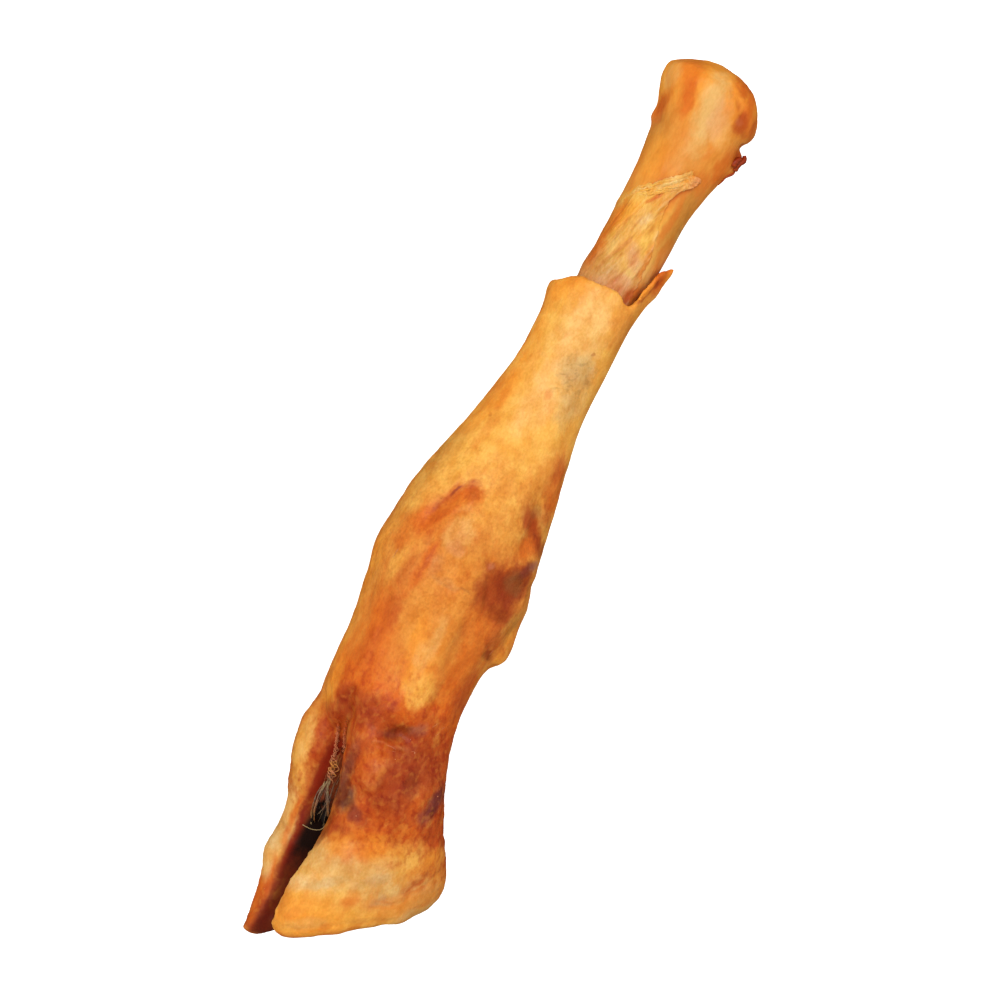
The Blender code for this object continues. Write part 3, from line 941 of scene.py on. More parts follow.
@dataclass(frozen=True)
class TissueFinish:
    """Dried skin, horn, membrane or bone: colours along the leg, stains on its shown side, painted shade in its
    hollows and painted highlights on its rises, and a grain.
    """

    name: str
    surface: Surface
    bands: Bands
    stains: tuple[Stain, ...]
    hollow_shade_tint: Tint
    hollow_depth: float
    ridge_highlight_tint: Tint
    speck_share: float
    contrast: float
    streaks: tuple[float, float, float]
    roughness: float
    grain_height: float
    grain_sizes: tuple[float, float, float]
    softness: float
    stain_warp: float = 1.1
    marks: SkinMarks | None = None

    def material(self) -> bpy.types.Material:
        """Makes the material with all its nodes.

        Returns:
            The material.
        """
        board = Board(self.name)
        place = board.shown_place()
        warped = board.warped(board.warped(place, 5.0, self.stain_warp), 1.5, 0.22 * self.stain_warp)
        mottle = board.noise(place, 1.9, 4.0)
        colour = self._banded(board, place, mottle)
        for stain in self.stains:
            colour = self._stained(board, colour, warped, mottle, stain)
        # Painted shade in the hollows and painted highlights on the ridges, from the relief
        colour = self._shaded_by_relief(board, colour)
        colour = self._textured(board, colour, place, mottle)
        roughness = board.noise(place, 3.0, 4.0) * ROUGHNESS_SPREAD + (self.roughness - ROUGHNESS_SPREAD / 2)
        if self.marks:
            colour = self.marks.blotched(board, colour, place)
            # The claws' dark red and the painted shade between them, where the surface is also rougher
            colour, between = self.marks.cleft_red_and_shade(board, colour, place, mottle)
            roughness = roughness + between * 0.5
        board.set(
            Base_Color=colour,
            Roughness=roughness,
            Normal=self._grain(board, place),
            Subsurface_Weight=self.softness,
            Subsurface_Radius=(1.0, 0.45, 0.2),
            Subsurface_Scale=1.2 * MM,
            Specular_IOR_Level=0.17,
            Coat_Weight=0.03,
            Coat_Roughness=0.30,
        )
        return board.material

    def _banded(self, board: Board, place: Signal, mottle: Signal) -> Signal:
        """The colours along the leg, which run into each other unevenly, with warmer and paler streaks.

        Args:
            board: The material's nodes.
            place: The shown place.
            mottle: Noise that makes the edges uneven.

        Returns:
            The colour.
        """
        broad = board.noise(place, 9.0, 4.0)
        along = board.axis(place) + (broad - 0.5) * 12.0 + (mottle - 0.5) * 5.0
        colour = board.banded(along, self.bands)
        warm = board.noise(board.stretched(place, (2.2, 1.0, 1.0)), 4.0, 4.0).step(0.50, 0.66)
        pale = board.noise(board.stretched(place, (1.8, 1.0, 1.0)), 3.1, 5.0, lacunarity=2.3).step(0.53, 0.70)
        colour = board.mix(warm * 0.34, colour, Tint.ORANGE)
        return board.mix(pale * 0.30, colour, Tint.GOLD)

    def _stained(self, board: Board, colour: Signal, place: Signal, mottle: Signal, stain: Stain) -> Signal:
        """Lays one stain over the colour.

        Args:
            board: The material's nodes.
            colour: The colour so far.
            place: The shown place, moved unevenly so that the stain's outline is uneven.
            mottle: Noise that makes its edge uneven.
            stain: The stain.

        Returns:
            The new colour.
        """
        spot, _ = self.surface.shown_spot(stain.along, stain.across)
        depth = SPACE.to_shown(spot)[2]
        reaches = stain.reach_along, stain.reach_across, stain.reach_in
        values = {
            "Vector": place,
            "Location": (stain.along, stain.across, depth),
            "Rotation": (0.0, 0.0, math.radians(stain.turn)),
            "Scale": [STAIN_SPREAD * reach for reach in reaches],
        }
        local = board.node("ShaderNodeMapping", {"vector_type": "TEXTURE"}, values)
        nearness = board.node("ShaderNodeTexGradient", {"gradient_type": "SPHERICAL"}, {0: local}, 1)
        uneven = nearness + (mottle - 0.5) * STAIN_UNEVENNESS
        patch = uneven.step(STAIN_EDGE - stain.fade / 2, STAIN_EDGE + stain.fade / 2)
        return board.mix(patch * stain.strength, colour, stain.tint)

    def _shaded_by_relief(self, board: Board, colour: Signal) -> Signal:
        """Paints shade and highlights from the relief: the colour is made darker where the relief is low, as
        shade in the hollows, and paler where it is high, as highlights on the ridges.

        Args:
            board: The material's nodes.
            colour: The colour so far.

        Returns:
            The new colour.
        """
        relief = board.node("ShaderNodeAttribute", {"attribute_name": "relief"}, output="Fac")
        hollow = relief.step(-0.08 * self.hollow_depth, -self.hollow_depth)
        ridge = relief.step(0.1 * self.hollow_depth, self.hollow_depth)
        colour = board.mix(hollow * 0.6, colour, self.hollow_shade_tint)
        return board.mix(ridge * 0.20, colour, self.ridge_highlight_tint)

    def _textured(self, board: Board, colour: Signal, place: Signal, mottle: Signal) -> Signal:
        """Varies the colour's depth by uneven flecks and a fine grain, and adds a few dark specks.

        Args:
            board: The material's nodes.
            colour: The colour so far.
            place: The shown place.
            mottle: Noise that keeps the specks to some spots.

        Returns:
            The new colour.
        """
        streaked = board.stretched(place, self.streaks)
        flecks = board.noise(streaked, 3.0, 8.0).step(0.30, 0.70)
        colour = board.mix(self.contrast, colour, board.mix(flecks, *FLECK_TONES), "MULTIPLY")
        grain = board.noise(streaked, 0.5, 4.0)
        tone = board.mix(grain.step(0.25, 0.75), *GRAIN_TONES)
        colour = board.mix(self.contrast, colour, tone, "MULTIPLY")
        specks = grain.step(0.33, 0.25) * mottle.step(0.52, 0.66)
        return board.mix(specks * self.speck_share, colour, Tint.UMBER)

    def _grain(self, board: Board, place: Signal) -> Signal:
        """The surface's fine uneven grain.

        Args:
            board: The material's nodes.
            place: The shown place.

        Returns:
            The normal.
        """
        long_grain = board.noise(board.stretched(place, self.grain_sizes), 1.0, 4.0)
        pores = board.noise(place, 0.35, 2.0)
        values = {"Strength": 1.0, "Distance": self.grain_height * MM, "Height": long_grain + pores * 0.4}
        return board.node("ShaderNodeBump", None, values)


@dataclass(frozen=True)
class HairFinish:
    """Wool, hair or a thin scrap: dull, with colours that change along the leg and from spot to spot."""

    name: str
    bands: Bands
    roughness: float = 0.7

    def material(self) -> bpy.types.Material:
        """Makes the material with all its nodes.

        Returns:
            The material.
        """
        board = Board(self.name)
        place = board.shown_place()
        colour = board.banded(board.axis(place) + (board.noise(place, 1.2) - 0.5) * 9.0, self.bands)
        fine = board.noise(board.stretched(place, (2.0, 0.3, 0.3)), 0.3, 2.0)
        tone = board.mix(fine.step(0.3, 0.7), *HAIR_TONES)
        values = {"Strength": 0.6, "Distance": 0.03 * MM, "Height": fine}
        board.set(
            Base_Color=board.mix(0.8, colour, tone, "MULTIPLY"),
            Roughness=fine * 0.2 + (self.roughness - 0.1),
            Normal=board.node("ShaderNodeBump", None, values),
            Specular_IOR_Level=0.25,
        )
        return board.material


SKIN_BANDS = (
    (-110.0, Tint.HONEY),
    (-101.0, Tint.AMBER),
    (-93.0, Tint.GOLD),
    (-85.0, Tint.BEIGE),
    (-79.0, Tint.HONEY),
    (-73.0, Tint.RUST),
    (-52.0, Tint.RUST),
    (-46.0, Tint.ORANGE),
    (-38.0, Tint.HONEY),
    (-10.0, Tint.HONEY),
    (2.0, Tint.GOLD),
    (40.0, Tint.GOLD),
    (52.0, Tint.AMBER),
)

# Paths on the shown side that both a stain and a crease follow
SINEW_WRINKLE = ((-20.6, 5.3), (-21.3, 2.3), (-21.1, 0.2), (-20.1, -1.4), (-20.0, -3.3))
OUTER_HEEL_WRINKLE = ((-89.2, -15.6), (-88.0, -18.4), (-86.5, -20.5), (-83.6, -22.2), (-80.5, -24.0))
MIDDLE_HEEL_WRINKLE = ((-87.7, -16.3), (-86.0, -19.5), (-82.1, -21.9), (-78.1, -23.5))
INNER_HEEL_WRINKLE = ((-83.9, -20.4), (-80.5, -22.3), (-77.0, -23.4))

SKIN_STAINS = (
    # The sleeve
    Stain(Tint.PEACH, 38.0, 0.6, 15.0, 6.0, 0.85),
    Stain(Tint.PEACH, 22.0, 2.6, 9.0, 4.0, 0.5, -6.0),
    Stain(Tint.AMBER, 29.0, 11.6, 20.0, 3.0, 0.55, -6.0),
    Stain(Tint.AMBER, 46.5, 9.8, 4.5, 3.0, 0.8),
    Stain(Tint.ORANGE, 36.0, 11.6, 10.0, 1.2, 0.35),
    Stain(Tint.HONEY, 45.0, -6.4, 6.0, 2.4, 0.7),
    Stain(Tint.OCHRE, 34.0, -8.2, 16.0, 2.4, 0.25),
    Stain(Tint.ORANGE, 21.0, 11.4, 6.0, 1.6, 0.4, -14.0),
    Stain(Tint.AMBER, 22.0, 9.2, 5.4, 2.0, 0.7, -6.0),
    Stain(Tint.ORANGE, 19.4, 9.6, 3.4, 1.2, 0.35, -14.0),
    Stain(Tint.BEIGE, 29.0, -3.4, 7.0, 4.0, 0.6, 15.0),
    Stain(Tint.GREY_TAN, 31.5, -1.8, 4.0, 4.4, 0.45, 25.0),
    Stain(Tint.GREY_TAN, 23.5, -4.0, 4.5, 3.0, 0.35),
    Stain(Tint.ORANGE, 24.8, 1.2, 1.4, 0.9, 0.45),
    Stain(Tint.BRICK, 36.3, -3.3, 0.5, 0.5, 0.45),
    Stain(Tint.ORANGE, 58.4, -9.0, 4.6, 1.7, 0.8, -8.0),
    Stain(Tint.RUST, 57.6, -8.8, 1.4, 0.8, 0.5, -20.0),
    Stain(Tint.RUST, 59.6, -8.8, 2.6, 1.2, 0.35, -8.0),
    Stain(Tint.HONEY, 52.6, -8.2, 3.4, 1.2, 0.6, -8.0),
    Stain(Tint.BRICK, 50.0, -5.9, 1.3, 1.0, 0.8),
    *line_stains(Tint.BRICK, 0.35, 0.6, (57.4, -8.5), (55.4, -8.3), (53.0, -7.5), (50.8, -6.8)),
    Stain(Tint.RUST, 55.2, -8.9, 1.8, 0.9, 0.45, -8.0),
    Stain(Tint.BRICK, 15.2, 10.3, 0.7, 0.5, 0.4),
    Stain(Tint.AMBER, 14.0, 12.8, 7.0, 2.2, 0.65, -20.0),
    # The fetlock: the crease, the pale swelling and the left side
    Stain(Tint.OCHRE, 2.0, 15.4, 10.0, 2.2, 0.6, -12.0),
    Stain(Tint.GOLD, -9.0, 16.8, 9.0, 2.6, 0.55, -6.0),
    Stain(Tint.ORANGE, -1.4, 5.6, 2.6, 2.4, 0.75, -35.0),
    Stain(Tint.RUST, -1.0, 5.8, 2.0, 1.7, 0.65, -35.0),
    Stain(Tint.ORANGE, -3.8, 9.2, 3.8, 1.5, 0.7, -18.0),
    Stain(Tint.ORANGE, -5.0, 8.0, 4.4, 1.5, 0.65, -18.0),
    Stain(Tint.ORANGE, -10.2, 11.4, 5.0, 3.2, 0.85, -14.0),
    Stain(Tint.ORANGE, -12.0, 14.6, 3.0, 2.4, 0.5),
    Stain(Tint.GOLD, -8.6, 15.8, 3.0, 1.8, 0.5),
    Stain(Tint.RUST, -9.0, 9.8, 3.4, 0.9, 0.45, -20.0),
    Stain(Tint.RUST, -3.4, 9.2, 3.4, 1.3, 0.45, -18.0),
    Stain(Tint.RUST, -13.8, 9.6, 2.6, 1.0, 0.35),
    Stain(Tint.ORANGE, -16.6, 14.6, 3.0, 2.4, 0.5),
    Stain(Tint.ORANGE, -20.0, 8.2, 9.0, 1.3, 0.75, -4.0),
    Stain(Tint.RUST, -18.0, 7.9, 5.0, 0.5, 0.5, -6.0),
    Stain(Tint.BEIGE, -10.4, 4.2, 4.2, 3.8, 0.45),
    Stain(Tint.HONEY, -10.4, 4.6, 2.8, 2.2, 0.35),
    Stain(Tint.ORANGE, -9.4, 7.6, 3.4, 0.7, 0.35, -14.0),
    Stain(Tint.HONEY, 3.2, 0.6, 4.4, 3.0, 0.55, 10.0),
    Stain(Tint.HONEY, -8.0, -1.0, 8.0, 1.8, 0.5, -8.0),
    Stain(Tint.PINK, -13.0, 3.4, 1.6, 2.2, 0.35),
    Stain(Tint.MAUVE, -18.4, 5.6, 2.8, 1.8, 0.25),
    Stain(Tint.ORANGE, -21.0, 0.4, 4.0, 2.4, 0.35),
    Stain(Tint.GREY_TAN, -20.8, 2.6, 1.0, 3.0, 0.35),
    Stain(Tint.AMBER, -25.0, 18.2, 11.0, 2.0, 0.7),
    Stain(Tint.GOLD, -21.0, 13.2, 4.0, 1.8, 0.45, -10.0),
    Stain(Tint.RUST, -22.4, 10.8, 5.0, 2.0, 0.45, -6.0),
    # Dark red lines along the crease round the pale swelling: painted shade in the crease
    *line_stains(Tint.BLOOD, 0.34, 0.65, (-0.9, 8.5), (-2.4, 9.1), (-4.1, 9.8)),
    *line_stains(Tint.RUST, 0.60, 0.4, (1.4, 5.4), (0.9, 6.8), (-0.6, 8.2)),
    *line_stains(Tint.RUST, 0.42, 0.6, (-4.1, 9.8), (-6.3, 10.9), (-9.0, 11.6)),
    *line_stains(Tint.OLIVE, 0.40, 0.22, *SINEW_WRINKLE),
    # The dark patches at the back of the fetlock
    Stain(Tint.HONEY, 8.6, -6.4, 7.0, 3.0, 0.7),
    Stain(Tint.ORANGE, 7.4, -9.4, 7.0, 2.8, 0.8, 12.0),
    Stain(Tint.RUST, 11.8, -8.4, 3.2, 2.0, 0.6),
    Stain(Tint.RUST, -1.2, -8.2, 5.6, 2.8, 0.7, 36.0),
    Stain(Tint.BRICK, -1.8, -8.2, 4.2, 1.7, 0.7, 42.0),
    Stain(Tint.RUST, -3.2, -9.6, 3.8, 1.9, 0.65, 30.0),
    Stain(Tint.OLIVE, 1.4, -8.0, 1.6, 1.3, 0.35),
    Stain(Tint.UMBER, -4.6, -11.0, 2.4, 0.6, 0.6, 40.0),
    Stain(Tint.BRICK, -5.0, -11.8, 3.4, 1.6, 0.7, 36.0),
    Stain(Tint.RUST, 1.6, -10.6, 3.4, 1.2, 0.5, 30.0),
    Stain(Tint.ORANGE, -7.0, -9.6, 3.4, 2.4, 0.8),
    Stain(Tint.RUST, -17.4, -9.0, 7.6, 6.0, 0.85),
    Stain(Tint.BRICK, -17.8, -6.8, 5.6, 4.2, 0.65, 8.0, 0.46),
    Stain(Tint.BRICK, -14.6, -11.0, 6.0, 4.2, 0.8, -10.0, 0.42),
    Stain(Tint.UMBER, -17.4, -11.0, 4.6, 3.0, 0.3, 30.0),
    Stain(Tint.OLIVE, -14.4, -10.8, 3.0, 2.2, 0.6, 20.0),
    Stain(Tint.PLUM, -11.0, -12.0, 2.2, 1.2, 0.6, -20.0),
    Stain(Tint.MAUVE, -9.4, -13.2, 1.6, 0.9, 0.6),
    Stain(Tint.BRICK, -13.4, -5.0, 1.3, 1.1, 0.55),
    Stain(Tint.PINK, -13.3, -4.8, 0.9, 0.8, 0.35),
    Stain(Tint.BRICK, -21.2, -12.2, 2.8, 2.2, 0.75),
    Stain(Tint.UMBER, -21.6, -10.8, 2.2, 2.4, 0.4),
    Stain(Tint.OCHRE, -23.0, -14.6, 4.0, 1.4, 0.6),
    *line_stains(Tint.UMBER, 0.40, 0.35, (-27.6, -10.6), (-29.8, -12.4), (-31.2, -13.4)),
    # Between the fetlock and the pastern
    Stain(Tint.HONEY, -26.0, 3.0, 12.0, 5.0, 0.6),
    Stain(Tint.ORANGE, -25.4, -6.6, 4.4, 2.6, 0.5),
    Stain(Tint.ORANGE, -36.5, 10.4, 11.0, 4.0, 0.85, 6.0),
    Stain(Tint.RUST, -31.5, 9.2, 5.0, 1.6, 0.55, 8.0),
    Stain(Tint.RUST, -41.0, 10.2, 6.0, 2.2, 0.45),
    Stain(Tint.ORANGE, -46.0, 8.6, 4.0, 3.0, 0.35),
    Stain(Tint.AMBER, -40.0, 16.4, 12.0, 1.6, 0.7, 2.0),
    Stain(Tint.HONEY, -32.0, 5.6, 7.0, 1.8, 0.5, 4.0),
    Stain(Tint.AMBER, -33.5, 2.0, 6.0, 1.7, 0.7, 6.0),
    Stain(Tint.PEACH, -32.0, -1.6, 6.0, 1.5, 0.5, 6.0),
    Stain(Tint.AMBER, -40.5, -1.2, 6.0, 3.0, 0.8, 8.0),
    Stain(Tint.PEACH, -37.2, -0.6, 3.4, 1.8, 0.45, 8.0),
    Stain(Tint.GOLD, -44.0, -3.4, 4.4, 3.6, 0.85),
    Stain(Tint.ORANGE, -29.0, -9.4, 7.0, 3.4, 0.6),
    Stain(Tint.ORANGE, -37.0, -9.6, 8.0, 4.0, 0.7),
    Stain(Tint.RUST, -26.8, -12.6, 4.0, 2.2, 0.7),
    Stain(Tint.AMBER, -25.4, -15.6, 2.0, 1.0, 0.6),
    Stain(Tint.UMBER, -30.6, -12.9, 1.3, 1.2, 0.5),
    Stain(Tint.AMBER, -31.0, -15.8, 2.0, 1.6, 0.75),
    Stain(Tint.RUST, -41.0, -12.2, 7.0, 2.0, 0.8),
    # The pastern
    Stain(Tint.BRICK, -52.0, 3.4, 4.4, 7.0, 0.65),
    Stain(Tint.RUST, -49.0, -7.4, 2.6, 3.4, 0.5),
    Stain(Tint.UMBER, -53.4, -3.8, 2.0, 4.6, 0.75, 27.0),
    Stain(Tint.MAUVE, -51.2, -7.1, 1.7, 2.2, 0.45, 27.0),
    Stain(Tint.DARK, -53.4, -3.4, 1.0, 2.8, 0.35, 27.0),
    Stain(Tint.BRICK, -57.6, -8.4, 6.0, 5.5, 0.88),
    Stain(Tint.ORANGE, -62.4, -1.8, 4.6, 3.0, 0.85),
    Stain(Tint.RUST, -63.0, -2.6, 4.6, 3.0, 0.65),
    Stain(Tint.BRICK, -64.0, -6.6, 3.6, 2.0, 0.5),
    Stain(Tint.BRICK, -66.0, -8.2, 5.0, 4.6, 0.85),
    Stain(Tint.BRICK, -57.8, -13.4, 6.0, 2.6, 0.7),
    Stain(Tint.UMBER, -61.6, -10.8, 3.0, 2.2, 0.5),
    Stain(Tint.ORANGE, -64.0, -13.8, 3.4, 1.4, 0.4),
    Stain(Tint.PLUM, -63.4, -17.4, 4.4, 1.8, 0.9),
    Stain(Tint.PLUM, -67.4, -16.6, 2.6, 1.8, 0.6),
    Stain(Tint.MAUVE, -62.0, 3.2, 3.4, 1.4, 0.35, 8.0),
    Stain(Tint.UMBER, -65.4, 2.6, 5.0, 1.6, 0.5, 8.0),
    Stain(Tint.SLATE, -67.0, 2.2, 4.4, 1.6, 0.5, 8.0),
    Stain(Tint.UMBER, -55.4, 7.6, 2.2, 1.0, 0.5, 20.0),
    Stain(Tint.OCHRE, -58.4, 6.6, 3.2, 0.8, 0.5, 20.0),
    Stain(Tint.BRICK, -53.0, 10.2, 4.0, 1.8, 0.75),
    Stain(Tint.BRICK, -57.6, 9.8, 4.0, 1.2, 0.5, 14.0),
    # The band above the horn, and the near claw
    Stain(Tint.ORANGE, -74.6, -5.0, 4.0, 8.0, 0.75, -25.0),
    Stain(Tint.RUST, -72.8, -4.6, 2.4, 5.0, 0.55, -10.0),
    Stain(Tint.RUST, -77.4, -0.8, 3.8, 1.9, 0.85),
    Stain(Tint.RUST, -78.0, -3.9, 2.2, 1.5, 0.6),
    Stain(Tint.BRICK, -78.2, -1.4, 2.6, 1.8, 0.55),
    Stain(Tint.BRICK, -75.6, 0.2, 3.0, 1.0, 0.5),
    Stain(Tint.BRICK, -73.6, -4.8, 2.6, 2.6, 0.6),
    Stain(Tint.SLATE, -71.4, 0.0, 3.4, 2.6, 0.85, 4.0),
    Stain(Tint.DARK, -71.0, 1.2, 3.0, 1.4, 0.55, 4.0),
    Stain(Tint.OLIVE, -71.6, -1.0, 1.6, 1.2, 0.3),
    *line_stains(
        Tint.UMBER, 1.0, 0.65,
        (-68.0, 0.8), (-72.6, 1.2), (-76.4, 0.7), (-80.0, 0.8), (-83.0, 1.3),
    ),
    Stain(Tint.PLUM, -73.0, -3.4, 1.8, 1.8, 0.45),
    Stain(Tint.AMBER, -77.6, -11.4, 4.0, 3.4, 0.6, -30.0),
    Stain(Tint.ORANGE, -72.6, -15.6, 3.4, 3.4, 0.5, -30.0),
    Stain(Tint.GOLD, -77.4, -17.4, 5.4, 4.2, 0.75, -30.0),
    Stain(Tint.HONEY, -74.0, -23.4, 5.0, 2.2, 0.8, -40.0),
    Stain(Tint.AMBER, -74.2, -23.0, 3.0, 2.0, 0.4, -40.0),
    Stain(Tint.BEIGE, -84.8, -8.6, 12.5, 3.6, 0.7, -56.0),
    Stain(Tint.PEACH, -89.8, -2.0, 5.0, 1.8, 0.7, -52.0),
    Stain(Tint.CREAM, -92.0, 0.8, 3.4, 1.8, 0.25, -52.0),
    Stain(Tint.ORANGE, -81.4, -5.4, 2.6, 2.2, 0.5, -30.0),
    Stain(Tint.ORANGE, -79.8, -9.0, 2.0, 1.6, 0.4, -30.0),
    Stain(Tint.OCHRE, -84.4, -7.6, 2.2, 1.4, 0.35, -30.0),
    Stain(Tint.GREY_TAN, -89.0, -4.2, 5.0, 1.2, 0.5, -52.0),
    Stain(Tint.GREY_TAN, -83.6, -13.6, 4.0, 1.4, 0.4, -52.0),
    Stain(Tint.AMBER, -97.5, -3.4, 8.0, 5.0, 0.6, -55.0),
    Stain(Tint.BEIGE, -99.0, -4.6, 5.0, 1.6, 0.35, -55.0),
    Stain(Tint.HONEY, -98.0, 1.6, 3.0, 1.6, 0.4, 27.0),
    Stain(Tint.AMBER, -80.4, -3.0, 3.4, 2.4, 0.5, -30.0),
    Stain(Tint.ORANGE, -98.6, -1.2, 2.2, 1.2, 0.3, -30.0),
    Stain(Tint.ORANGE, -98.0, -8.6, 1.6, 1.0, 0.4, -30.0),
    Stain(Tint.GOLD, -101.6, -1.4, 2.0, 2.6, 0.4, -20.0),
    Stain(Tint.ORANGE, -90.2, -10.8, 2.4, 1.2, 0.5, -52.0),
    Stain(Tint.MAUVE, -87.4, -17.0, 2.6, 1.4, 0.4, -52.0),
    Stain(Tint.ORANGE, -84.0, -21.2, 5.0, 2.0, 0.35, -48.0),
    Stain(Tint.RUST, -80.6, -22.0, 1.6, 0.9, 0.5, -48.0),
    *line_stains(Tint.ORANGE, 0.5, 0.4, *OUTER_HEEL_WRINKLE),
    *line_stains(Tint.RUST, 0.36, 0.35, *MIDDLE_HEEL_WRINKLE),
    *line_stains(Tint.RUST, 0.34, 0.3, *INNER_HEEL_WRINKLE),
    *line_stains(
        Tint.ORANGE, 0.6, 0.4,
        (-104.0, 1.0), (-103.6, -2.4), (-101.6, -7.2), (-96.8, -12.4), (-93.2, -16.0),
    ),
    Stain(Tint.HONEY, -84.0, -24.6, 7.0, 2.2, 0.7, -55.0),
    Stain(Tint.AMBER, -90.0, -18.4, 6.0, 2.2, 0.55, -52.0),
    Stain(Tint.HONEY, -87.4, -19.6, 5.5, 3.0, 0.5, -52.0),
    # The far claw
    Stain(Tint.HONEY, -52.6, 14.6, 6.0, 2.4, 0.85, 8.0),
    Stain(Tint.ORANGE, -50.6, 13.2, 4.0, 1.6, 0.4, 8.0),
    Stain(Tint.AMBER, -51.0, 13.8, 7.0, 1.6, 0.7, 4.0),
    Stain(Tint.GOLD, -66.5, 13.6, 10.0, 2.6, 0.85, 12.0),
    Stain(Tint.PEACH, -65.0, 13.2, 5.0, 1.6, 0.5, 12.0),
    Stain(Tint.RUST, -60.0, 10.6, 8.0, 1.2, 0.75, 14.0),
    Stain(Tint.GOLD, -76.5, 9.8, 6.5, 2.0, 0.5, 6.0),
    Stain(Tint.PEACH, -80.0, 10.4, 6.0, 2.0, 0.8, 6.0),
    Stain(Tint.BEIGE, -87.6, 9.6, 5.6, 2.2, 0.9, 4.0),
    Stain(Tint.CREAM, -89.6, 9.4, 3.4, 1.4, 0.25),
    Stain(Tint.OLIVE, -84.6, 10.4, 0.8, 0.6, 0.25),
    *line_stains(
        Tint.BRICK, 0.9, 0.95,
        (-62.0, 8.3), (-68.4, 7.4), (-76.3, 6.9), (-84.0, 6.2), (-90.0, 5.6),
    ),
    *line_stains(Tint.ORANGE, 0.8, 0.6, (-76.0, 8.4), (-84.0, 7.8), (-88.0, 7.2)),
    *line_stains(Tint.BLOOD, 0.9, 0.85, (-77.4, 5.9), (-82.0, 5.8), (-86.0, 5.3), (-90.0, 4.8)),
    Stain(Tint.ORANGE, -96.4, 7.0, 6.6, 2.6, 0.9, 16.0),
    Stain(Tint.PEACH, -92.4, 8.8, 4.0, 1.4, 0.9, 12.0),
    Stain(Tint.RUST, -98.4, 6.8, 6.0, 1.8, 0.5, 8.0),
    Stain(Tint.BRICK, -93.0, 5.4, 6.0, 1.2, 0.8, 6.0),
    Stain(Tint.BRICK, -103.8, 5.8, 4.6, 3.6, 0.85),
    # A painted highlight along the far claw's left edge, and painted shade along its inner edge by the cleft
    *line_stains(Tint.ORANGE, 1.1, 0.8, (-96.6, 8.4), (-99.4, 7.9), (-103.8, 7.0)),
    *line_stains(Tint.BLOOD, 0.8, 0.5, (-90.0, 5.2), (-94.6, 4.7), (-99.6, 4.6), (-102.6, 3.6)),
    Stain(Tint.RUST, -97.4, 6.6, 1.6, 0.9, 0.5),
    Stain(Tint.ORANGE, -104.6, 5.6, 1.4, 0.9, 0.5),
)

# How far a surface faces the viewer where marks begin to show on it, and where they show in full
SHOWN_FACING = (-0.15, 0.35)
OUTLINE_FACING = (-0.9, -0.2)

SKIN_SWELLS = (
    Swell(-10.2, 4.2, 3.4, 3.0, 0.45),
    Swell(-2.6, 5.2, 2.2, 1.7, 0.25, -40.0),
    Swell(-62.8, -2.6, 3.4, 2.4, 0.45),
    Swell(-58.6, 1.6, 2.6, 2.0, 0.30),
    Swell(-67.4, -8.4, 2.6, 3.0, 0.25),
    Swell(-53.6, -3.8, 1.4, 3.4, -0.55, 27.0),
    Swell(-16.4, -9.6, 4.0, 3.4, -0.35, 20.0),
    Swell(-0.4, -8.6, 2.4, 1.4, -0.30),
    Swell(-46.8, -9.6, 1.0, 2.8, 0.20),
)

# Swells of the outline, which reach round to the side that is turned away
OUTLINE_SWELLS = (
    Swell(-90.6, -22.4, 2.8, 2.2, 0.80),
    Swell(-98.2, -12.4, 2.6, 2.2, 0.50),
    Swell(-90.2, 10.2, 2.6, 1.6, 0.60),
    Swell(-74.4, 12.8, 2.4, 1.6, 0.40),
    Swell(54.2, -9.2, 2.4, 1.4, 0.45),
    Swell(-103.0, 1.4, 1.8, 1.4, 0.50),
    Swell(-18.8, -15.6, 2.2, 1.8, 0.45),
    Swell(-13.2, -14.6, 1.4, 1.6, -0.25),
)

